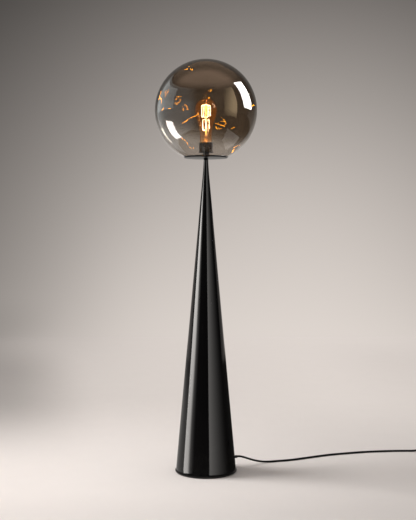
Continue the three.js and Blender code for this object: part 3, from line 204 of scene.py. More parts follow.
class Recipe:
    def __init__(self, owner):
        owner.use_nodes = True
        self.tree = owner.node_tree
        self.end = next(node for node in self.tree.nodes if node.type.startswith("OUTPUT")).inputs["Surface"]

    def plug(self, socket, value):
        if isinstance(value, Value):
            self.tree.links.new(value.socket, socket)
        elif socket.type == "RGBA" and len(value) == 3:
            socket.default_value = (*value, 1)
        else:
            socket.default_value = value

    def node(self, kind, settings=None, sockets=None, out=0):
        """Adds a node: its type, then its settings, then the values or links of its sockets."""
        made = self.tree.nodes.new("ShaderNode" + kind)
        for key, value in (settings or {}).items():
            setattr(made, key, value)
        for key, value in (sockets or {}).items():
            self.plug(made.inputs[key], value)
        return Value(self, made.outputs[out])

    def axis(self, name):
        """The point's X, Y or Z on the piece, in metres."""
        return self.node("SeparateXYZ", sockets={0: self.node("TexCoord", out="Object")}, out=name)

    def axes(self):
        return [self.axis(name) for name in "XYZ"]

    def rays(self, *kinds):
        """For each kind of ray 1 where it is what looks at the point, else 0."""
        return [self.node("LightPath", out=f"Is {kind} Ray") for kind in kinds]

    def noise(self, size, detail=3.0, stretch=(1, 1, 1)):
        """Soft noise between 0 and 1 whose features are about size millimetres across, times the stretch."""
        place = self.node("Mapping", sockets={"Vector": self.node("TexCoord", out="Object"), "Scale": stretch})
        return self.node("TexNoise", sockets={"Vector": place, "Scale": 1 / (size * MM), "Detail": detail})

    def mix(self, share, first, second):
        return self.node("Mix", {"data_type": "RGBA"}, {0: share, 6: first, 7: second}, out=2)


FINISHES = {}


class Finish(Recipe):
    def __init__(self, name, **constants):
        self.material = FINISHES[name] = bpy.data.materials.new(name)
        super().__init__(self.material)
        self.shader = self.tree.nodes["Principled BSDF"]
        self.vary(**constants)

    def vary(self, **sockets):
        for socket, value in sockets.items():
            self.plug(self.shader.inputs[socket.replace("_", " ").title().replace("Ior", "IOR")], value)

    def bump(self, height, depth):
        """Raises the surface by up to depth millimetres where height is 1."""
        self.plug(self.shader.inputs["Normal"],
                  self.node("Bump", sockets={"Height": height, "Distance": depth * MM, "Strength": 1.0}))

    def give_way(self, share, other):
        """Lets another shader stand in for this one where share is 1."""
        own = Value(self, self.shader.outputs["BSDF"])
        self.plug(self.end, self.node("MixShader", sockets={0: share, 1: own, 2: other}))


print("shader helpers ready")

# %% [markdown]
# The cone is spun steel under black lacquer, a dark base below a smooth clear film. A trace of orange peel and a
# little dust near the foot keep it from looking like a computer's mirror. The seat is duller.

# %% Black lacquers
DUST_TOP = 0.11
lacquer = Finish("gloss_black", IOR=1.5)
dust = lacquer.axis("Z").step(DUST_TOP, 0.0) * lacquer.noise(2.5).step(0.42, 0.85) * 0.35
lacquer.vary(
    base_color=lacquer.mix(dust, (0.0035, 0.0034, 0.0036), (0.05, 0.046, 0.042)),
    roughness=0.045 + lacquer.noise(60) * 0.03 + dust * 0.5,
)
lacquer.bump(lacquer.noise(1.6), 0.002)

satin = Finish("satin_black", IOR=1.5)
dust = satin.noise(3).step(0.5, 0.9) * 0.3
satin.vary(
    base_color=satin.mix(dust, (0.006, 0.0058, 0.006), (0.04, 0.037, 0.034)),
    roughness=0.24 + satin.noise(25) * 0.12,
)
satin.bump(satin.noise(0.8), 0.006)
print("finishes:", ", ".join(FINISHES))

# %% [markdown]
# Metals differ mostly in colour and grain. Turned pieces carry fine rings round their axis, so their noise is
# stretched; cast iron is pitted all over.

# %% Metals
def turned_metal(name, dark, light, roughness):
    metal = Finish(name, metallic=1.0)
    rings = metal.noise(0.35, detail=2.0, stretch=(0.04, 0.04, 1))
    stain = metal.noise(9)
    metal.vary(
        base_color=metal.mix(stain * 0.6 + rings * 0.4, dark, light),
        roughness=roughness + rings * 0.12 + stain * 0.06,
    )
    metal.bump(rings, 0.004)


iron = Finish("cast_iron", metallic=0.6)
pits = iron.noise(1.4, detail=6.0)
iron.vary(base_color=iron.mix(pits, (0.02, 0.02, 0.021), (0.07, 0.068, 0.066)), roughness=0.6 + pits * 0.3)
iron.bump(pits, 0.3)
turned_metal("zinc_steel", (0.42, 0.43, 0.45), (0.66, 0.67, 0.69), 0.28)
turned_metal("dark_bronze", (0.016, 0.011, 0.007), (0.045, 0.031, 0.02), 0.24)
turned_metal("brass", (0.52, 0.36, 0.13), (0.78, 0.58, 0.26), 0.2)
print("metals added,", len(FINISHES), "finishes")

# %% [markdown]
# Glass is clear all through; its tint belongs to the light that crosses it. In a path tracer a lamp's light would
# stop at glass as at a wall, so for shadow rays alone it turns into tinted transparency.

# %% Glass
RIPPLE, MOUTH_LEAN = 0.001, 0.22


def tinted_glass(name, deep, pale, shadow, glow=None, clearer=None):
    """Streaky glass. glow is (heights, low colour, high colour) of a painted glow for the filament's light in the
    glass, clearer is (heights, colour at the lower one).
    """
    glass = Finish(name, roughness=0.0, IOR=1.5, transmission_weight=1.0)
    # Painted glow: the glass emits, brighter higher up, in place of the filament's light that it catches.
    if glow:
        (low, high), low_painted_glow, high_painted_glow = glow
        share = glass.axis("Z").step(low * MM, high * MM)
        glass.vary(emission_color=glass.mix(share, low_painted_glow, high_painted_glow), emission_strength=1.0)
    tint = glass.mix(glass.noise(45, stretch=(1, 1, 0.4)), deep, pale)
    if clearer:
        (low, high), colour = clearer
        height = glass.axis("Z") + glass.axis("X") * MOUTH_LEAN
        tint = glass.mix(height.step(low * MM, high * MM, 1.0, 0.0), tint, colour)
    glass.vary(base_color=tint)
    glass.bump(glass.noise(90, detail=0.0), RIPPLE)
    is_shadow, = glass.rays("Shadow")
    glass.give_way(is_shadow, glass.node("BsdfTransparent", sockets={"Color": shadow}))


tinted_glass("smoked_glass", (0.32, 0.265, 0.205), (0.35, 0.29, 0.225), (0.62, 0.57, 0.51),
             clearer=((968, 1012), (0.75, 0.715, 0.67)))
# The bulb's glass gets a faint painted glow, brighter towards the filaments.
tinted_glass("amber_glass", (0.97, 0.74, 0.45), (0.99, 0.80, 0.52), (0.97, 0.88, 0.72),
             glow=((985, 1030), (0.022, 0.009, 0.004), (0.072, 0.027, 0.004)))
# The stem gets a strong painted glow where the filaments surround it, for their light on the glass.
tinted_glass("stem_glass", (0.95, 0.80, 0.58), (0.98, 0.86, 0.66), (0.98, 0.93, 0.85),
             glow=((984, 1010), (0.05, 0.017, 0.004), (6.0, 3.0, 1.2)))
print("glass added,", len(FINISHES), "finishes")

# %% [markdown]
# The pins are brass up to a plastic sleeve at their roots. The filaments glow yellow-white, a little hotter in some
# places.

# %% Pins and glowing filament
PIN_SLEEVE = (0.6772, 0.6774)
pin_metal = Finish("pin_metal")
sleeve = pin_metal.axis("X").step(*PIN_SLEEVE)
scratch = pin_metal.noise(0.6, stretch=(0.1, 1, 1))
bright = pin_metal.mix(scratch, (0.6, 0.43, 0.17), (0.8, 0.6, 0.28))
pin_metal.vary(
    base_color=pin_metal.mix(sleeve, bright, (0.012, 0.012, 0.012)),
    metallic=1 - sleeve,
    roughness=0.22 + scratch * 0.1 + sleeve * 0.15,
)

filament_glow = Finish("glowing_filament", base_color=(0.05, 0.03, 0.02), roughness=0.6, emission_strength=60.0)
heat = filament_glow.noise(6, stretch=(1, 1, 0.5))
filament_glow.vary(emission_color=filament_glow.mix(heat, (1.0, 0.80, 0.74), (1.0, 0.90, 0.95)))
print("pins and filament added,", len(FINISHES), "finishes")

# %% [markdown]
# Ceramic, black glass, rubber, plastic and felt each have their own grain. Their gloss changes a little from place to
# place, as moulding and handling leave it.

# %% Quiet materials
MOULDED = {  # dark and light colour, roughness, size and depth of the grain in millimetres
    "ceramic_white": ((0.72, 0.68, 0.6), (0.82, 0.79, 0.72), 0.25, 1.5, 0.02),
    "black_glass": ((0.008, 0.006, 0.01), (0.02, 0.015, 0.024), 0.08, 3, 0.005),
    "black_rubber": ((0.006, 0.006, 0.006), (0.016, 0.016, 0.016), 0.42, 0.5, 0.02),
    "black_plastic": ((0.014, 0.014, 0.0145), (0.028, 0.028, 0.029), 0.3, 0.35, 0.02),
    "grey_felt": ((0.015, 0.015, 0.016), (0.05, 0.05, 0.05), 0.9, 0.25, 0.3),
}
for name, (dark, light, roughness, grain, depth) in MOULDED.items():
    quiet = Finish(name, IOR=1.48)
    grit = quiet.noise(grain, detail=4.0)
    wear = quiet.noise(30).step(0.35, 0.8)
    quiet.vary(base_color=quiet.mix(wear * 0.7 + grit * 0.3, dark, light), roughness=roughness + wear * 0.12)
    quiet.bump(grit, depth)
print("finishes:", ", ".join(sorted(FINISHES)))

# %% [markdown]
# ## Turned pieces
# Most of the lamp is turned or blown. An outline is drawn as wire corners in the XZ plane, chosen corners are rounded
# while it is still a wire, and one full spin makes the skin.

# %% Outline and spin
def rounded(bm, parts, radius, segments=4, kind="VERTICES", **options):
    """Rounds corners or edges; the radius is in millimetres."""
    bmesh.ops.bevel(bm, geom=parts, offset=radius * MM, offset_type="OFFSET", segments=segments, profile=0.5,
                    affect=kind, material=-1, **options)


def curve_points(start, lean, pull, end, count):
    """Points of a bezier curve between two (radius, height) points."""
    knots = [Vector((p[0], p[1], 0)) for p in (start, lean, pull, end)]
    return [(p.x, p.y) for p in interpolate_bezier(*knots, count)]


def turned(outline, steps=96):
    """Spins an outline of (radius, height) or (radius, height, rounding) corners into a closed skin."""
    bm = bmesh.new()
    corners = [bm.verts.new((corner[0] * MM, 0, corner[1] * MM)) for corner in outline]
    on_axis = outline[0][0] == 0 and outline[-1][0] == 0
    for first, second in zip(corners, corners[1:] + ([] if on_axis else corners[:1])):
        bm.edges.new((first, second))
    for corner, spec in zip(corners, outline):
        if len(spec) == 3:
            rounded(bm, [corner], spec[2])
    bmesh.ops.spin(bm, geom=bm.verts[:] + bm.edges[:], cent=(0, 0, 0), axis=(0, 0, 1), angle=tau,
                   steps=steps, use_merge=True)
    bmesh.ops.remove_doubles(bm, verts=bm.verts, dist=1e-6)
    bmesh.ops.recalc_face_normals(bm, faces=bm.faces)
    return bm


def drill(radius, low, high, steps=48):
    return turned([(0, low), (radius, low), (radius, high), (0, high)], steps)


print("outline helpers ready")

# %% [markdown]
# A form becomes a piece by taking a finish, the CAD node that it stands for and a body to ride on. Holes are cut
# while it is still free, and some forms are drawn upright and then laid where they belong.


def solid(bm, name, material=None):
    mesh = bpy.data.meshes.new(name)
    bm.to_mesh(mesh)
    bm.free()
    if material:
        mesh.materials.append(material)
    return linked(name, mesh)


def shown(bm, name, finish, node, body="stand", crease=32):
    for face in bm.faces:
        face.smooth = True
    for edge in bm.edges:
        edge.smooth = edge.calc_face_angle(0) < radians(crease)
    open_edges = sum(edge.is_boundary for edge in bm.edges)
    piece = solid(bm, name, FINISHES[finish])
    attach(piece, body)
    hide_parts(node)
    print(name, len(piece.data.polygons), "faces,", open_edges, "open edges")
    return piece


def carved(bm, *cutters, operation="DIFFERENCE"):
    """Cuts bmesh forms out of another with Boolean modifiers, or joins them to it."""
    whole = solid(bm, "tool")
    used = [solid(cutter, "tool") for cutter in cutters]
    for cutter in used:
        modifier = whole.modifiers.new("cut", "BOOLEAN")
        modifier.operation = operation
        modifier.solver = "EXACT"
        modifier.object = cutter
    result = bmesh.new()
    result.from_object(whole, bpy.context.evaluated_depsgraph_get())
    for spare in [whole] + used:
        bpy.data.objects.remove(spare)
    bmesh.ops.remove_doubles(result, verts=result.verts, dist=1e-7)
    return result


def moved(bm, x=0.0, y=0.0, z=0.0, turn=0.0, tilt=0.0):
    """Tilts a form about Y, then turns it about Z, then moves it, in millimetres and radians."""
    place = Matrix.Translation(Vector((x, y, z)) * MM)
    place = place @ Matrix.Rotation(turn, 4, "Z") @ Matrix.Rotation(tilt, 4, "Y")
    bmesh.ops.transform(bm, matrix=place, verts=bm.verts)
    return bm


def block(size):
    bm = bmesh.new()
    bmesh.ops.create_cube(bm, size=1)
    bmesh.ops.scale(bm, vec=Vector(size) * MM, verts=bm.verts)
    return bm


def pulled(bm, grown, way):
    """Moves the new end of an extrusion by a way in metres."""
    ends = [item for item in grown["geom"] if isinstance(item, bmesh.types.BMVert)]
    bmesh.ops.translate(bm, vec=way, verts=ends)
    return bm


print("piece helpers ready")

# %% [markdown]
# ## The foot
# A steel plate with a rounded edge and a recess for the nut of the tie rod. Three countersunk screws hold it to the
# ballast, and a felt pad lies below.

# %% Plate, pad and screws
ROD_HOLE, NUT_HOLE = 5.3, 11
PLATE_RADIUS, PLATE_LOW, PLATE_HIGH, NUT_FLOOR = 90.9, 1.8, 8.0, 5.4
SCREW_RING, SCREW_TURN = 55, radians(-30)
SCREW_ANGLES = [SCREW_TURN + tau * i / 3 for i in range(3)]
SCREW_PLACES = [(SCREW_RING * cos(a), SCREW_RING * sin(a)) for a in SCREW_ANGLES]

plate = turned([(NUT_HOLE, PLATE_LOW), (PLATE_RADIUS, PLATE_LOW, 2.6), (PLATE_RADIUS, PLATE_HIGH, 2.6),
                (ROD_HOLE, PLATE_HIGH), (ROD_HOLE, NUT_FLOOR), (NUT_HOLE, NUT_FLOOR)], 160)
holes = [moved(turned([(0, -1), (5.1, -1), (5.1, 2.1), (2.8, 4.7), (2.8, 9), (0, 9)], 40), x, y)
         for x, y in SCREW_PLACES]
shown(carved(plate, *holes), "foot_plate", "satin_black", "base_plate")
shown(turned([(0, 0), (86, 0, 0.3), (86, 1.5, 0.5), (0, 1.5)], 128), "felt_pad", "grey_felt", "base_pad")

for number, (x, y) in enumerate(SCREW_PLACES, 1):
    screw = turned([(0, 2.1), (4.8, 2.1, 0.2), (2.5, 4.7), (2.5, 18.1, 0.4), (0, 18.1)], 40)
    screw = carved(screw, *[moved(block(size), z=2.4) for size in ((4.6, 1, 2.4), (1, 4.6, 2.4))])
    shown(moved(screw, x, y), f"plate_screw_{number}", "zinc_steel", f"base_screw_{number}")

# %% [markdown]
# ## The cone
# Sheet steel, 1.5 mm thick and 0.9 m tall: a straight flank that curves into a short neck. Extra rings below and
# above the cord's hole keep the cut from disturbing the shading.

# %% Cone
CONE_FOOT, CONE_TOP, CONE_WALL, FOOT_RADIUS, NECK_RADIUS = 8.3, 923.5, 1.5, 88.3, 6.65
CURVE_LOW, NECK_CORNER = 860, 903.0
TAPER = (FOOT_RADIUS - NECK_RADIUS) / (NECK_CORNER - CONE_FOOT)
EXIT_TURN, EXIT_HEIGHT = radians(30), 31


def cone_radius(height):
    return FOOT_RADIUS - TAPER * (height - CONE_FOOT)


def flank(inset, count):
    """The curve from the straight flank into the neck, a quadratic written as a cubic."""
    start = Vector((cone_radius(CURVE_LOW) - inset, CURVE_LOW))
    corner = Vector((NECK_RADIUS - inset, NECK_CORNER))
    end = Vector((NECK_RADIUS - inset, CONE_TOP))
    return curve_points(start, start.lerp(corner, 2 / 3), end.lerp(corner, 2 / 3), end, count)


outside = [(cone_radius(h), h) for h in (18, 46, 400)] + flank(0, 20)
inside = flank(CONE_WALL, 12)[::-1]
cone = turned([(cone_radius(CONE_FOOT), CONE_FOOT, 0.6)] + outside + inside
              + [(cone_radius(CONE_FOOT) - CONE_WALL, CONE_FOOT)], 180)
cord_hole = moved(drill(6.2, 0, 110), z=EXIT_HEIGHT, turn=EXIT_TURN, tilt=pi / 2)
shown(carved(cone, cord_hole), "cone", "gloss_black", "cone_body")

# %% [markdown]
# The strain relief is moulded rubber: a flange on each side of the cone's wall and three ribs. It is drawn along the
# lamp's axis and then laid along the way the cord leaves.

# %% Strain relief
RELIEF_ROOT, RELIEF_TIP = 88.43, 110.43


def ribs(root, tip, root_radius, tip_radius=4.0, count=3):
    """A tapered row of soft ribs from root to tip."""
    pitch = (tip - root) / count
    corners = []
    for i in range(count):
        radii = [root_radius + (tip_radius - root_radius) * share / count for share in (i, i + 0.5, i + 1)]
        corners += [(radii[0], root + pitch * i), (radii[1], root + pitch * (i + 0.5), 0.25),
                    (radii[1] - 0.7, root + pitch * (i + 0.5), 0.2), (radii[2] - 0.7, root + pitch * (i + 1))]
    return corners


relief = turned([(3.05, 78.7), (8.2, 78.7, 0.6), (8.2, 84.2, 0.3), (5.9, 84.2), (5.9, 85.9), (8.2, 85.9),
                 (8.2, RELIEF_ROOT, 0.8)] + ribs(RELIEF_ROOT, RELIEF_TIP, 5.4) + [(3.05, RELIEF_TIP)], 48)
relief = moved(relief, z=EXIT_HEIGHT, turn=EXIT_TURN, tilt=pi / 2)
strain_relief = shown(relief, "strain_relief", "black_rubber", "cord_grommet")

# %% [markdown]
# ## The seat
# A thin disc on the cone's neck carries the globe, and its step centres the glass's mouth. A rubber ring keeps glass
# off metal, and a short collar holds the lampholder clear.

# %% Seat disc, rubber ring and collar
SEAT_LOW, SEAT_HIGH, SEAT_RADIUS, STEP_HIGH, STEP_RADIUS = 923.8, 926.3, 63.52, 928.9, 59.67
RING_LOW, RING_HIGH, RING_RADIUS = 926.6, 927.4, 59.97
disc = turned([(ROD_HOLE, SEAT_LOW), (SEAT_RADIUS, SEAT_LOW, 0.5), (SEAT_RADIUS, SEAT_HIGH, 0.5),
               (STEP_RADIUS, SEAT_HIGH), (STEP_RADIUS, STEP_HIGH, 0.4), (ROD_HOLE, STEP_HIGH)], 128)
shown(disc, "seat_disc", "satin_black", "seat_plate")
ring = turned([(RING_RADIUS, RING_LOW, 0.2), (SEAT_RADIUS, RING_LOW, 0.3), (SEAT_RADIUS, RING_HIGH, 0.3),
               (RING_RADIUS, RING_HIGH, 0.2)], 128)
shown(ring, "seat_ring", "black_rubber", "seat_gasket")
collar = turned([(ROD_HOLE, 929.2), (10, 929.2, 0.6), (10, 933.2), (9.6, 933.6), (9.6, 934.4), (10, 934.8),
                 (10, 938.9, 0.6), (ROD_HOLE, 938.9)], 64)
shown(collar, "collar", "satin_black", "ferrule")

# %% [markdown]
# ## The globe
# Blown glass 300 mm across, cut flat at the bottom. The outline runs along the inner and the outer skin: glass with
# one skin only would bend light like a solid ball and swell the bulb behind it.

# %% Globe
GLOBE_CENTRE, GLOBE_RADIUS, GLOBE_WALL, GLOBE_CUT = 1061.09, 149.6, 3.5, 927.7


def globe_arc(radius, count=110):
    """Points from the flat cut at the bottom up to the pole."""
    first = asin((GLOBE_CUT - GLOBE_CENTRE) / radius)
    angles = [first + (pi / 2 - first) * i / count for i in range(count)]
    arc = [(radius * cos(a), GLOBE_CENTRE + radius * sin(a)) for a in angles]
    return arc + [(0, GLOBE_CENTRE + radius)]


inner, outer = globe_arc(GLOBE_RADIUS - GLOBE_WALL), globe_arc(GLOBE_RADIUS)
lip = [(*inner[0], 0.7), (*outer[0], 0.7)]
globe = turned(inner[:0:-1] + lip + outer[1:], 160)
print("glass volume %.0f cm3" % (globe.calc_volume(signed=True) * 1e6))
shown(globe, "globe", "smoked_glass", "glass_globe", "globe", crease=60)

# %% [markdown]
# ## The lampholder
# A dark bronze cup with a bead at its foot hides a glazed ceramic insert.

# %% Cup and ceramic insert
cup = turned([(ROD_HOLE, 939.2), (21, 939.2, 0.8), (21, 942.2, 0.6), (20, 942.2), (20, 966.0), (19.6, 966.3),
              (19.6, 966.9), (20, 967.2), (20, 968.9, 0.5), (18.8, 968.9, 0.2), (18.8, 941.2, 1),
              (ROD_HOLE, 941.2)], 96)
shown(cup, "holder_cup", "dark_bronze", "socket_cup")
insert = turned([(0, 941.5), (18.5, 941.5, 0.6), (18.5, 968.6, 0.8), (14.3, 968.6, 0.6), (14.3, 948.3, 0.5),
                 (0, 948.3)], 80)
shown(insert, "ceramic_insert", "ceramic_white", "lampholder_body")

# %% [markdown]
# Inside sit the threaded brass sleeve and the spring contact, and the bulb's cap screws down onto them. A thread is a
# finely divided tube pressed in by a wave that climbs one pitch per turn.

# %% Threads
THREAD_PITCH, THREAD_DEPTH, THREAD_FADE = 3.62, 0.55, 2


def threaded(bm, low, high, inner_limit):
    """Presses the points of a turned wall in along a helix, fading out at both ends."""
    for vert in bm.verts:
        height, radius = vert.co.z / MM, vert.co.xy.length / MM
        if low < height < high and radius > inner_limit:
            angle = atan2(vert.co.y, vert.co.x)
            wave = cos(tau * (height / THREAD_PITCH) - angle)
            fade = min(1, (height - low) / THREAD_FADE, (high - height) / THREAD_FADE)
            depth = THREAD_DEPTH * fade * (1 - wave) / 2
            vert.co.xy *= (radius - depth) / radius
    return bm


def rungs(radius, low, high, count):
    return [(radius, low + (high - low) * i / count) for i in range(count + 1)]


SLEEVE = (948.6, 968.6)
sleeve = turned(rungs(14.0, *SLEEVE, 50) + rungs(13.72, *SLEEVE, 50)[::-1], 64)
shown(threaded(sleeve, *SLEEVE, 10), "brass_sleeve", "brass", "thread_sleeve", crease=80)

cap = turned([(0, 954.5), (12.2, 954.5, 0.4)] + rungs(13.2, 955.5, 968.9, 40) + [(0, 968.9)], 72)
shown(threaded(cap, 955.5, 967.9, 12.5), "cap_shell", "brass", "bulb_cap", "bulb", crease=80)

# %% Contacts
insulator = turned([(0, 950.8), (5.6, 950.8, 0.4), (12.2, 954.2, 0.3), (0, 954.2)], 64)
shown(insulator, "cap_insulator", "black_glass", "bulb_insulator", "bulb")
solder = curve_points((0, 949.6), (2.8, 949.6), (4.6, 949.9), (4.6, 950.5), 7)
shown(turned(solder + [(0, 950.5)], 40), "cap_contact", "zinc_steel", "bulb_contact", "bulb")
spring = block((20, 6, 0.7))
rounded(spring, spring.edges[:], 0.2, 2, "EDGES")
shown(moved(spring, z=948.95), "spring_contact", "brass", "centre_contact")

# %% [markdown]
# ## The bulb
# Thin amber glass in three curves: a short shoulder above the cap, the long flank that swells into the belly, and the
# dome. The inner skin is the same outline, one millimetre in.

# %% Bulb glass
GLASS_LOW, BELLY_HEIGHT, BELLY_RADIUS, BULB_NECK, DOME_RISE = 969.2, 1065.0, 32, 17.5, 32.2


def bulb_outline(inset):
    neck, belly, neck_top = BULB_NECK - inset, BELLY_RADIUS - inset, GLASS_LOW + 27.8
    reach = (BELLY_HEIGHT - neck_top) / 3
    shoulder = curve_points((13.2 - inset, GLASS_LOW), (neck - inset, GLASS_LOW), (neck, GLASS_LOW + 1.7),
                            (neck, GLASS_LOW + 5), 7)
    flank_line = curve_points((neck, neck_top), (neck, neck_top + reach), (belly, BELLY_HEIGHT - reach),
                              (belly, BELLY_HEIGHT), 22)
    angles = [pi / 2 * i / 18 for i in range(1, 18)]
    dome = [(belly * cos(a), BELLY_HEIGHT + (DOME_RISE - inset) * sin(a)) for a in angles]
    return shoulder + flank_line + dome + [(0, BELLY_HEIGHT + DOME_RISE - inset)]


bulb = turned(bulb_outline(1)[::-1] + bulb_outline(0), 96)
shown(bulb, "bulb_envelope", "amber_glass", "bulb_glass", "bulb", crease=60)

# %% [markdown]
# Inside stands a glass stem with a flared foot, pinched where the wires pass through it and drawn out into a rod.

# %% Stem
STEM_LOW, PINCH, ROD_TOP, STEM_PULL = 969.5, 988.5, 1080.6, 4.75
flare = curve_points((10.5, STEM_LOW), (4.2, STEM_LOW + STEM_PULL), (4.2, PINCH - STEM_PULL), (4.2, PINCH), 16)
stem = turned([(0, STEM_LOW)] + flare + [(2.0, PINCH + 4.2, 1.5), (2.0, ROD_TOP, 0.9), (0, ROD_TOP)], 48)
shown(stem, "glass_stem", "stem_glass", "bulb_stem", "bulb", crease=60)

# %% [markdown]
# Two tiers of filament, four runs below and six above, are wound up and down round the rod, each one unbroken line
# with a soft bend between two runs.

# %% Filaments
CAGES = {
    "lower": {"runs": 4, "radius": 9.3, "low": 1005.7, "high": 1035.7},
    "upper": {"runs": 6, "radius": 12.4, "low": 1043.2, "high": 1078.2},
}
BEND_RISE, FILAMENT_RADIUS, WIRE_RADIUS = 3, 1.0, 0.4


def cage_point(cage, turn, height):
    angle = tau * turn / cage["runs"]
    return Vector((cage["radius"] * cos(angle), cage["radius"] * sin(angle), height))


def cage_points(cage):
    points = []
    for run in range(cage["runs"]):
        up = run % 2 == 0
        first, last = (cage["low"], cage["high"]) if up else (cage["high"], cage["low"])
        inward = -BEND_RISE if up else BEND_RISE
        points += [cage_point(cage, run, first - inward), cage_point(cage, run, last + inward)]
        if run < cage["runs"] - 1:
            apex = cage_point(cage, run + 0.5, last - inward)
            end, start = points[-1], cage_point(cage, run + 1, last + inward)
            points += interpolate_bezier(end, end.lerp(apex, 2 / 3), start.lerp(apex, 2 / 3), start, 9)[1:-1]
    return points


def add_wire(bm, points, radius, sides=3):
    """Adds a round wire to a bmesh, by way of a curve."""
    holder = tube("wire", points, radius, "POLY", sides)
    mesh = bpy.data.meshes.new_from_object(holder.evaluated_get(bpy.context.evaluated_depsgraph_get()))
    bm.from_mesh(mesh)
    bpy.data.objects.remove(holder)
    bmesh.ops.remove_doubles(bm, verts=bm.verts, dist=1e-7)


for tier, cage in CAGES.items():
    filament = bmesh.new()
    add_wire(filament, cage_points(cage), FILAMENT_RADIUS, 4)
    shown(filament, f"{tier}_glow", "glowing_filament", f"{tier}_filament", "bulb", crease=60)

# %% [markdown]
# A wire spider holds the bends at each end of a tier: a hub on the rod, an arm to every bend and a hook over it. Two
# wires lead from the pinch to the ends of the lower filament.

# %% Spiders
HUB_INSET, HOOK_REACH, HOOK_DROP = 2.05, 1.6, 2.2
tiers = [(tier, at_top) for tier in CAGES for at_top in (False, True)]
for number, (tier, at_top) in enumerate(tiers, 1):
    cage = CAGES[tier]
    side = -1 if at_top else 1
    height = cage["high" if at_top else "low"] + side * HUB_INSET
    spider = turned([(2.3, height - 1.2), (3.2, height - 1.2, 0.3), (3.2, height + 1.2, 0.3), (2.3, height + 1.2)], 32)
    turn = 0.5 if at_top else 1.5
    while turn < cage["runs"] - 1:
        tip = cage_point(cage, turn, height)
        arm = tip.copy()
        arm.xy *= 2.8 / cage["radius"]
        hook = tip.copy()
        hook.xy *= (cage["radius"] + HOOK_REACH) / cage["radius"]
        over = hook + Vector((0, 0, -side * HOOK_DROP))
        add_wire(spider, [arm, tip, hook, over], WIRE_RADIUS)
        turn += 2
    shown(spider, f"wire_spider_{number}", "zinc_steel", f"filament_spider_{number}", "bulb")

# %% Lead-in wires
cage = CAGES["lower"]
for number, run in enumerate((0, 3), 1):
    end = cage_point(cage, run, cage["low"] + BEND_RISE + 0.6)
    start = cage_point(cage, run, PINCH)
    start.xy *= 4.9 / cage["radius"]
    bent = start.lerp(end, 0.75)
    bent.xy = end.xy
    lead = bmesh.new()
    add_wire(lead, [start, start.lerp(bent, 0.5), bent, end], WIRE_RADIUS)
    shown(lead, f"lead_wire_{number}", "zinc_steel", f"lead_in_wire_{number}", "bulb")

# %% [markdown]
# ## Foot switch, tie and plug
# The switch is a tray and a domed cover, with two screws from underneath and a round button. Its outline is one quad
# with rounded corners, extruded, and the upper rim is rolled over.

# %% Rounded boxes
def slab(length, width, corner, low, high, rim=0.0):
    """A block with round corners in plan and, if asked, a round upper rim."""
    bm = bmesh.new()
    bmesh.ops.create_grid(bm, x_segments=1, y_segments=1, size=0.5)
    bmesh.ops.scale(bm, vec=Vector((length, width, 0)) * MM, verts=bm.verts)
    rounded(bm, bm.verts[:], corner, 10)
    return thickened(bm, low, high, rim)


def thickened(bm, low, high, rim=0.0, lower_rim=False):
    """Extrudes flat faces from one height to another and rounds the rim."""
    bmesh.ops.translate(bm, vec=(0, 0, low * MM), verts=bm.verts)
    pulled(bm, bmesh.ops.extrude_face_region(bm, geom=bm.faces[:]), (0, 0, (high - low) * MM))
    bmesh.ops.recalc_face_normals(bm, faces=bm.faces)
    if rim:
        levels = [high, low] if lower_rim else [high]
        edges = [edge for edge in bm.edges
                 if any(all(abs(v.co.z / MM - level) < 1e-3 for v in edge.verts) for level in levels)]
        rounded(bm, edges, rim, 5, "EDGES", clamp_overlap=True)
    return bm


def on_switch(bm):
    x, y, _ = on_switch_axis(SWITCH_SPAN / 2)
    return moved(bm, x, y, turn=SWITCH_TURN)


def along_switch(bm, side=1):
    return moved(bm, z=SWITCH_CORD_HEIGHT, tilt=side * pi / 2)


# %% Cover and tray
CASE, HOLLOW, SWITCH_SCREWS = (84, 36, 15), (79.6, 31.6, 12.8), (-28, 28)
cover_cuts = [slab(*HOLLOW, 0, 21.8), drill(11.3, 15, 30), along_switch(drill(4.9, -60, 60))]
cover = carved(slab(*CASE, 8.8, 24, 3.5), *cover_cuts)
cover = carved(cover, *[moved(drill(3.6, 2.5, 22.9, 32), x) for x in SWITCH_SCREWS], operation="UNION")
cover = carved(cover, *[moved(drill(1.8, 0, 13.3, 24), x, turn=0.1) for x in SWITCH_SCREWS])
switch_pieces = [shown(on_switch(cover), "switch_top", "black_plastic", "switch_cover")]

tray_cuts = [slab(*HOLLOW, 2.2, 12), along_switch(drill(4.9, -60, 60))]
tray_cuts += [moved(turned([(0, -1), (3.1, -1), (3.1, 1.5), (1.8, 1.5), (1.8, 5), (0, 5)], 32), x)
              for x in SWITCH_SCREWS]
tray = carved(slab(*CASE, 0, 8.5), *tray_cuts)
switch_pieces.append(shown(on_switch(tray), "switch_tray", "black_plastic", "switch_base"))

# %% Bushings and button
for number, side in enumerate((-1, 1), 1):
    bushing = turned([(3.05, 37.7), (5.6, 37.7, 0.4), (5.6, 39.5, 0.3), (4.6, 39.5)] + ribs(42, 62, 4.6)
                     + [(3.05, 62)], 40)
    bushing = on_switch(along_switch(bushing, side))
    shown(bushing, f"cord_bushing_{number}", "black_rubber", f"switch_bushing_{number}")

crown = curve_points((9.2, 28.0), (6, 28.2), (3, 28.4), (0, 28.4), 8)
button = turned([(0, 12), (4, 12, 0.4), (4, 18.5), (13, 18.5), (13, 21.5), (11, 21.5), (11, 27.6, 1.6)] + crown, 64)
button_piece = shown(on_switch(button), "foot_button", "black_plastic", "switch_button", "button")

# %% [markdown]
# A rubber strap holds the coil. The flat two-pin plug has a waisted body, and plastic sleeves the root of each pin,
# as the standard asks.

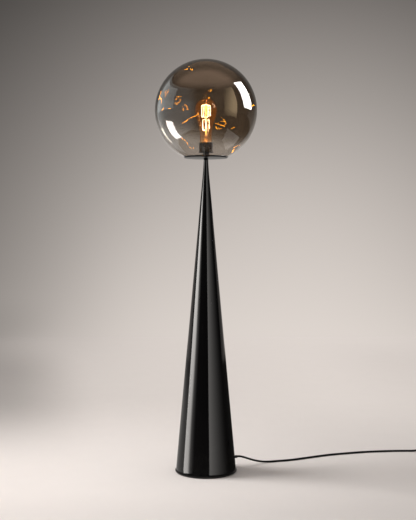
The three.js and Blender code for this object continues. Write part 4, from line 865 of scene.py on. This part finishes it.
# %% Tie and plug
STRAP_REACH, STRAP_HEIGHT = 32.75, 7.4
strap = carved(slab(14.8, 24.7, 4, -4, 4), slab(13.2, 23.1, 3.2, -5, 5))
rounded(strap, [edge for edge in strap.edges if edge.calc_face_angle(0) > 1], 0.2, 2, "EDGES")
strap = moved(strap, COIL_CENTRE[0], COIL_CENTRE[1] - STRAP_REACH, STRAP_HEIGHT, tilt=pi / 2)
strap_piece = shown(strap, "coil_strap", "black_plastic", "cord_tie")


def on_plug(bm):
    """The plug's own +X points out of its pins; its origin is the tip of the relief."""
    return moved(bm, *PLUG_TIP, PLUG_HEIGHT, turn=pi)


plug_relief = turned([(0, 22)] + ribs(22, 0, 5.4) + [(0, 0)], 48)
plug_relief = on_plug(moved(plug_relief, tilt=pi / 2))
plug_pieces = [shown(plug_relief, "plug_boot", "black_rubber", "plug_relief")]

PLUG_PLAN = [(22.3, -7.5, 2), (36.3, -17.65, 7), (56.3, -17.65, 3), (56.3, 17.65, 3), (36.3, 17.65, 7),
             (22.3, 7.5, 2)]
plug = bmesh.new()
plan_corners = [plug.verts.new(Vector((x, y, 0)) * MM) for x, y, rounding in PLUG_PLAN]
plug.faces.new(plan_corners)
for corner, (x, y, rounding) in zip(plan_corners, PLUG_PLAN):
    rounded(plug, [corner], rounding, 6)
plug = thickened(plug, -PLUG_HEIGHT, PLUG_HEIGHT, 2.2, lower_rim=True)
plug_pieces.append(shown(on_plug(plug), "plug_shell", "black_plastic", "plug_body"))

for number, side in enumerate((-9.3, 9.3), 1):
    pin = turned([(0, 56.6), (2, 56.6, 0.2), (2, 75.6, 1.1), (0, 75.6)], 32)
    pin = on_plug(moved(pin, y=side, tilt=pi / 2))
    plug_pieces.append(shown(pin, f"pin_{number}", "pin_metal", f"plug_pin_{number}"))

# %% [markdown]
# The cords take the rubber finish, ride on the stand and stand in for their CAD nodes. The relief and the switch
# sit on the first cord, the strap and the plug on the second.

for piece, nodes in ((mains_cord, ["cord_run"]), (plug_cord, ["cord_lead", "cord_coil", "cord_tail"])):
    piece.data.materials.append(FINISHES["black_rubber"])
    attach(piece, "stand")
    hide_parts(*nodes)

# %% [markdown]
# The CAD pieces whose shape is already right keep their meshes: ballast, nuts, washer, tie rod, inner wire, the
# switch's screws and terminal block. They take the finish named by their slot.

# %% Finishes of the CAD pieces that stay
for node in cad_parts.values():
    for slot in node.material_slots:
        slot.material = FINISHES[slot.name.split(".")[0]]
print("finished", len(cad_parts), "CAD nodes")

# %% [markdown]
# ## The studio
# The background is one seamless sweep of pale paper that gets darker upwards and to the left. Its brightness is
# painted light and shade, worked out from the place by soft hills and steps.

# %% Brightness of the wall
def hill(value, centre, width):
    """A bell curve: 1 at the centre, fading over the width on either side."""
    offset = (value - centre) / width
    return e ** (offset * offset * -1.0)


def wall_glow(x, z):
    """Painted light on the wall: a broad hill right of the lamp, a pool of light behind it, painted shade in a low
    corner on the left, darker upwards.
    """
    broad = hill(x.step(-1.7, 3.0, -1.7, 3.0, "LINEAR"), 0.7, 2.57)
    pool = hill(x, -0.65, 0.6) * z.step(0.0, 1.5, 0.13, 0.02) + hill(z, 1.1, 0.8) * 0.055
    # Painted shade in the low corner on the left.
    corner = x.step(-1.5, -0.95, 0.12, 0.0) * z.step(0.0, 0.25, 1.0, 0.0)
    return broad * (1 + pool) * (1 - corner) * z.step(0.0, 2.65, 0.72, 0.18, "LINEAR")


print("wall formula ready")

# %% [markdown]
# The floor is matt, so it keeps the lamp's shadow, and far away it takes over the wall's brightness. A black gloss
# would mirror it as a bright skirt, which the photograph doesn't show, so mirror rays find it dim.

# %% Floor paper
PAPER, FAR_PAPER, DIM_PAPER, BLACK = (1.0, 0.93, 0.885), (1.0, 0.924, 0.874), (0.03, 0.028, 0.026), (0, 0, 0)
FOOT_EDGE = (0.088, 0.12)
paper = Finish("floor_paper", roughness=1.0, specular_ior_level=0.0)
x, y, z = paper.axes()
# The paper's colour is painted light and shade: palest on the left near the lamp, darker to the right and towards the
# front, painted shade on the far left and right, and the wall's painted light far away.
far = y.step(-0.15, 1.3)
near_painted_light = (0.89 - x.step(-0.5, 0.8) * 0.32) * y.step(-0.5, -0.2, 0.92, 1.0)
slant = x + (y - 1.17) * 0.18
left_shade = slant.step(-0.87, -0.42, 0.31, 0.0) * y.step(0.0, 1.1) * y.step(1.8, 3.5, 1.0, 0.0)
right_shade = x.step(0.5, 1.1, 0.0, 0.07) * y.step(2.2, 3.6, 1.0, 0.0)
level = near_painted_light * (1 - far) + wall_glow(x, z) * far * (1 - right_shade)
level = level * (1 - left_shade) * (0.985 + paper.noise(90) * 0.03)
paper.vary(base_color=paper.mix(level, BLACK, paper.mix(far, PAPER, FAR_PAPER)))

glossy, through = paper.rays("Glossy", "Transmission")
distance = (x ** 2 + y ** 2) ** 0.5
dim = paper.node("BsdfDiffuse", sockets={"Color": DIM_PAPER})
paper.give_way(glossy * (1 - through) * distance.step(*FOOT_EDGE), dim)
print("floor paper has", len(paper.tree.nodes), "nodes")

# %% [markdown]
# The wall shines by itself, so its shading doesn't depend on the lamps, and it lights nothing. The sweep is three
# corners with the middle one rounded, pulled across the room.

# %% Floor and wall
WALL_PAPER = (1.0, 0.913, 0.85)
STAGE_HALF, CURVE_START, WALL_PLACE, WALL_TOP, FLOOR_LEVEL = 14.0, 3.6, 5.0, 7.0, -0.0004
SWEEP_ROUNDING = 1390
wall_material = bpy.data.materials.new("wall_paper")
wall_material.cycles.emission_sampling = "NONE"
wall_paint = Recipe(wall_material)
x, y, z = wall_paint.axes()
camera_ray, glossy, through = wall_paint.rays("Camera", "Glossy", "Transmission")
seen = 1 - (1 - camera_ray) * (1 - glossy) * (1 - through)
# The wall's glow carries the painted light and shade of wall_glow.
glow = wall_paint.mix(wall_glow(x, z), BLACK, WALL_PAPER)
wall_paint.plug(wall_paint.end, wall_paint.node("Emission", sockets={"Color": glow, "Strength": seen}))


def staged(bm, name, material):
    piece = solid(bm, name, material)
    return piece


floor = bmesh.new()
bmesh.ops.create_grid(floor, x_segments=1, y_segments=1, size=1)
bmesh.ops.scale(floor, vec=(STAGE_HALF, (CURVE_START + STAGE_HALF) / 2, 1), verts=floor.verts)
bmesh.ops.translate(floor, vec=(0, (CURVE_START - STAGE_HALF) / 2, FLOOR_LEVEL), verts=floor.verts)
staged(floor, "floor", paper.material)

sweep = bmesh.new()
profile = ((CURVE_START, FLOOR_LEVEL), (WALL_PLACE, FLOOR_LEVEL), (WALL_PLACE, WALL_TOP))
corners = [sweep.verts.new((-STAGE_HALF, away, height)) for away, height in profile]
for pair in zip(corners, corners[1:]):
    sweep.edges.new(pair)
rounded(sweep, [corners[1]], SWEEP_ROUNDING, 24)
pulled(sweep, bmesh.ops.extrude_edge_only(sweep, edges=sweep.edges[:]), (2 * STAGE_HALF, 0, 0))
wall = staged(sweep, "wall", wall_material)
wall.visible_diffuse = wall.visible_shadow = False
print("stage reaches from y = %.1f to y = %.1f m" % (-STAGE_HALF, WALL_PLACE))

# %% [markdown]
# One broad lamp shines from the left, and the world gives matt surfaces even light. In mirrors the world is nearly
# black, because what the gloss mirrors is made apart from it.

# %% World and key lamp
AIR_TINT, AIR_SEEN, AIR_MIRRORED, AIR_LIGHT = (1.0, 0.965, 0.94), 0.62, 0.015, 0.44
KEY_LEVEL, KEY_HEIGHT, KEY_TURN, KEY_SIZE = 0.56, radians(45), radians(-5), radians(29)
world = bpy.data.worlds.new("studio_air")
bpy.context.scene.world = world
bpy.context.scene.view_settings.view_transform = "Standard"
air = Recipe(world)
camera_ray, glossy, through, matt = air.rays("Camera", "Glossy", "Transmission", "Diffuse")
clear = 1 - (1 - camera_ray) * (1 - through)
strength = clear * AIR_SEEN + glossy * (1 - clear) * AIR_MIRRORED + matt * AIR_LIGHT
background = next(node for node in air.tree.nodes if node.type == "BACKGROUND")
air.plug(background.inputs["Color"], AIR_TINT)
air.plug(background.inputs["Strength"], strength)

key_data = bpy.data.lights.new("key", "SUN")
key_data.energy = KEY_LEVEL * pi / sin(KEY_HEIGHT)
key_data.angle = KEY_SIZE
key = linked("key", key_data)
key.rotation_euler = (0, -KEY_HEIGHT, KEY_TURN)
key.visible_glossy = key.visible_transmission = False
print("key lamp %.2f W/m2" % key_data.energy)

# %% [markdown]
# ## Reflections
# The rest of the room is glowing cards that only mirror rays see. A card adds its light to what lies behind it and is
# given to the pieces that should mirror it. A ray that comes back out of glass counts as a transmission ray, so the
# globe's outer and inner skin can be given a card each.

# %% Cards
def group(name, *pieces):
    made = bpy.data.collections.new(name)
    for piece in pieces:
        made.objects.link(bpy.data.objects[piece])
    return made


IN_CONE = group("mirrors_below", "cone", "strain_relief")
IN_GLOBE = group("mirrors_above", "globe", "bulb_envelope")
BEHIND_GLOBE = group("mirrors_behind", "globe", "bulb_envelope", "seat_disc", "collar", "holder_cup")
PALE, COOL, WARM = (1.0, 0.96, 0.92), (0.95, 1.0, 1.0), (1.0, 0.74, 0.44)


def card(bm, name, light, only=IN_GLOBE, tint=PALE, shape=None, mirror="outer", see_through=True):
    """A glowing card that camera and matt surfaces don't see. shape(x, y, z) dims it from place to place."""
    material = bpy.data.materials.new(name)
    paint = Recipe(material)
    strength = shape(*paint.axes()) * light if shape else light
    shine = paint.node("Emission", sockets={"Color": tint, "Strength": strength})
    if see_through:
        clear = paint.node("BsdfTransparent", sockets={"Color": (1, 1, 1)})
        shine = paint.node("AddShader", sockets={0: shine, 1: clear})
    paint.plug(paint.end, shine)
    piece = staged(bm, name, material)
    piece.visible_camera = piece.visible_diffuse = piece.visible_shadow = False
    piece.visible_glossy, piece.visible_transmission = mirror == "outer", mirror == "inner"
    piece.light_linking.receiver_collection = only
    print("card", name, "of strength", light)


# %% [markdown]
# The globe is a round mirror. One goes backwards from the direction in which the mirrored ray leaves, in degrees, to
# a point in the room; azimuth 0 faces the camera and 90 is the right.

# %% Places in the globe's mirror
def mirrored_at(azimuth, elevation, distance=0.95):
    """The point that the camera sees in the globe's skin when the mirrored ray leaves in this direction."""
    turn, rise = radians(azimuth), radians(elevation)
    leaving = Vector((sin(turn) * cos(rise), -cos(turn) * cos(rise), sin(rise)))
    centre = Vector((0, 0, GLOBE_CENTRE * MM))
    normal = (leaving + (camera.location - centre).normalized()).normalized()
    return centre + normal * GLOBE_RADIUS * MM + leaving * distance


def facing(*directions):
    """A card whose corners are mirrored in the globe in these directions."""
    bm = bmesh.new()
    bmesh.ops.contextual_create(bm, geom=[bm.verts.new(mirrored_at(*place)) for place in directions])
    return bm


print("the middle of the globe mirrors", [round(v, 2) for v in mirrored_at(0, 0)])

# %% [markdown]
# A tall narrow window on the right shows upright in the outer skin and once more, low on the left, in the inner one,
# where the light has crossed the tinted glass twice and has to be much stronger.

# %% Windows
WINDOW_PLAN, WINDOW_TOP = ((2.04, 0), (2.317, 1.338)), 3.15


def window(low):
    (x, y), end = WINDOW_PLAN
    bm = bmesh.new()
    edge = bm.edges.new((bm.verts.new((x, y, low)), bm.verts.new((x, y, WINDOW_TOP))))
    return pulled(bm, bmesh.ops.extrude_edge_only(bm, edges=[edge]), (end[0] - x, end[1] - y, 0))


card(window(1.26), "window_right", 26)
card(window(1.65), "window_right_inner", 400, tint=(0.8, 0.9, 1.2), mirror="inner")
card(facing((-106.0, -11.3), (-87.3, -17.1), (-88.3, -27.3), (-91.5, -39.8), (-92.3, -47.7), (-112.9, -39.5),
            (-112.1, -31.6), (-110.6, -22.2)), "window_echo", 14)
card(facing((60.8, -36.2), (118.9, -32.4), (131.1, -39.7), (139.3, -50.2), (78.3, -60.6)), "table_echo", 0.9)
card(facing((-139.5, -9.0), (-130.8, -12.2), (-133.8, -20.5), (-137.3, -28.3), (-146.6, -22.2), (-144.5, -15.0)),
     "rim_echo", 4.5, tint=(1.0, 0.93, 0.74))

# %% [markdown]
# Dim cards that bend over the globe give the glass its body. The flag behind also blocks: the globe mirrors its soft
# light instead of the bright wall, and to the cone it is black, so the neck's edges stay dark.

# %% Room tones in the globe
def arc(first, last, *line):
    """A card swept round the lamp between two angles; 0 faces the camera and 90 is the right.

    The line is its (distance, height) profile, so it stands, lies, leans or bends."""
    bm = bmesh.new()
    verts = [bm.verts.new((0, -distance, height)) for distance, height in line]
    edges = [bm.edges.new(pair) for pair in zip(verts, verts[1:])]
    bmesh.ops.rotate(bm, cent=(0, 0, 0), matrix=Matrix.Rotation(radians(first), 3, "Z"), verts=bm.verts)
    bmesh.ops.spin(bm, geom=verts + edges, cent=(0, 0, 0), axis=(0, 0, 1), angle=radians(last - first),
                   steps=32, use_merge=False)
    return bm


def over_globe(low, high, distance=2.0, steps=8):
    """A profile that bends over the globe between two elevations in degrees."""
    angles = [radians(low + (high - low) * i / steps) for i in range(steps + 1)]
    return [(distance * cos(a), GLOBE_CENTRE * MM + distance * sin(a)) for a in angles]


card(arc(-130, -75, *over_globe(3, 36)), "panel_left_high", 1.3, tint=COOL)
card(arc(-150, -12, *over_globe(-45, 40, 1.5)), "room_left", 1.2, tint=COOL,
     shape=lambda x, y, z: x.step(-1.0, -0.35, 1.0, 0.0) * z.step(1.3, 1.6, 1.0, 0.5))
card(arc(40, 71, *over_globe(-14, 40, 2.1)), "panel_front_right", 4.4, tint=WARM,
     shape=lambda x, y, z: x.step(1.1, 2.0, 0.0, 1.0) * z.step(0.5, 1.05, 0.3, 1.0))
card(arc(-180, 180, *over_globe(36, 89, 1.4)), "ceiling", 1.8, tint=(1.0, 0.68, 0.48),
     shape=lambda x, y, z: z.step(1.85, 2.25, 0.0, 1.0) * y.step(-0.3, 0.3, 1.0, 0.2))
card(arc(125, 235, *over_globe(-35, 62, 0.5)), "flag", 1, BEHIND_GLOBE, (1.0, 0.95, 0.9), see_through=False,
     shape=lambda x, y, z: z.step(0.9, 1.2, 0.7, 0.22) * x.step(-0.3, 0.4, 0.95, 0.7))

# %% [markdown]
# A bright panel on the left and a soft one on the right give the cone its bands and go on along the floor. The flank
# of a round foot mirrors along lines that meet in one point on either side, so the cards sweep round those.

# %% Bands on the cone
LEFT_FOCUS, RIGHT_FOCUS = (-0.028, -0.066), (0.002, -0.057)
BAND_START, BAND_CORE, BAND_END = radians(-75), radians(-60), radians(-42)
FADE_START, FADE_END = radians(14), radians(100)
PANEL, LOW = 1.6, 0.001


def left_band(x, y, z):
    """Brightest at the height of a table, dimmer near the floor and at the top, soft on its right side."""
    angle = (x - LEFT_FOCUS[0]).angle_from(LEFT_FOCUS[1] - y)
    edge = angle + z.step(0.7, 1.25) * 0.16 + z.step(0.0, 0.5, 0.08, 0.0)
    side = edge.step(BAND_START, BAND_CORE, 0.8, 0.0) + edge.step(BAND_START, BAND_END, 0.2, 0.0)
    return side * z.step(0.0, 0.95, 0.6, 1.0) * z.step(1.0, 1.26, 1.0, 0.1)


def left_back(x, y, z):
    return z.step(0.0, 0.3, 1.0, 0.28)


def right_fade(x, y, z):
    """Fades slowly towards the right; squared, because a straight fade ends in a visible edge."""
    angle = (x - RIGHT_FOCUS[0]).angle_from(RIGHT_FOCUS[1] - y)
    return angle.step(FADE_START, FADE_END, 1.0, 0.0, "LINEAR") ** 2


for name, light, shape, focus, angles, line in (
    ("panel_left", 12.6, left_band, LEFT_FOCUS, (-97, -41), [(PANEL, 0), (PANEL, 1.4)]),
    ("panel_left_floor", 12.6, left_band, LEFT_FOCUS, (-97, -41), [(0.068, LOW), (PANEL, LOW)]),
    ("panel_left_back", 0.45, left_back, LEFT_FOCUS, (-160, -97), [(0.06, LOW), (PANEL, LOW), (PANEL, 1.2)]),
    ("panel_right", 2.4, right_fade, RIGHT_FOCUS, (13.5, 100), [(PANEL, 0), (PANEL, 1.5)]),
    ("panel_right_floor", 2.4, right_fade, RIGHT_FOCUS, (13.5, 100), [(0.066, LOW), (PANEL, LOW)]),
):
    panel = arc(*angles, *line)
    bmesh.ops.translate(panel, vec=(*focus, 0), verts=panel.verts)
    card(panel, name, light, IN_CONE, shape=shape)

# %% [markdown]
# Hand-blown glass is never a true ball, so the filament's glow comes back from places where a perfect shell would
# show none. Warm wires far outside, seen by the globe's mirror alone, stand for these echoes.

# %% Echoes of the filament
RIM_AZIMUTH, RIM_WIRE, ECHO_WIRE = 120, 6, 9
ECHOES = [
    [(-160, 37), (-155, 51)], [(-142, 52), (-137, 61), (-129, 69), (-122, 69)],
    [(-140, 21), (-139, 16), (-142, 13)], [(-137, 16), (-121, 16), (-120, 12)],
    [(-122, 28), (-115, 24), (-107, 20), (-108, 31)],
    [(-70, 23), (-71, 18), (-72, 11), (-69, 9), (-61, 13), (-58, 23), (-70, 23)],
    [(-50, -5), (-51, 3), (-46, 8), (-41, 2), (-42, -6)], [(-117, 4), (-109, 6)], [(-93, 3), (-85, 4)],
    [(-62, -26), (-51, -26), (-40, -21), (-27, -18), (-15, -13)],
    [(36, -18), (51, -29), (52, -35), (35, -35), (27, -34), (35, -28), (49, -26)],
    [(24, -39), (33, -44), (44, -42)], [(160, -24), (144, -33), (145, -25), (152, -22), (160, -21)],
    [(-121, -61), (-128, -68)], [(-94, -47), (-96, -54), (-107, -60)], [(6, 38), (17, 40), (10, 35)],
    [(7, 24), (7, 19)], [(124, 9), (139, 10)], [(74, -34), (82, -29)],
]
echoes = bmesh.new()
for stroke in ECHOES:
    wire = RIM_WIRE if abs(stroke[0][0]) > RIM_AZIMUTH else ECHO_WIRE
    add_wire(echoes, [mirrored_at(*place) / MM for place in stroke], wire, 2)
card(echoes, "filament_echoes", 19, tint=(1.0, 0.33, 0.0))
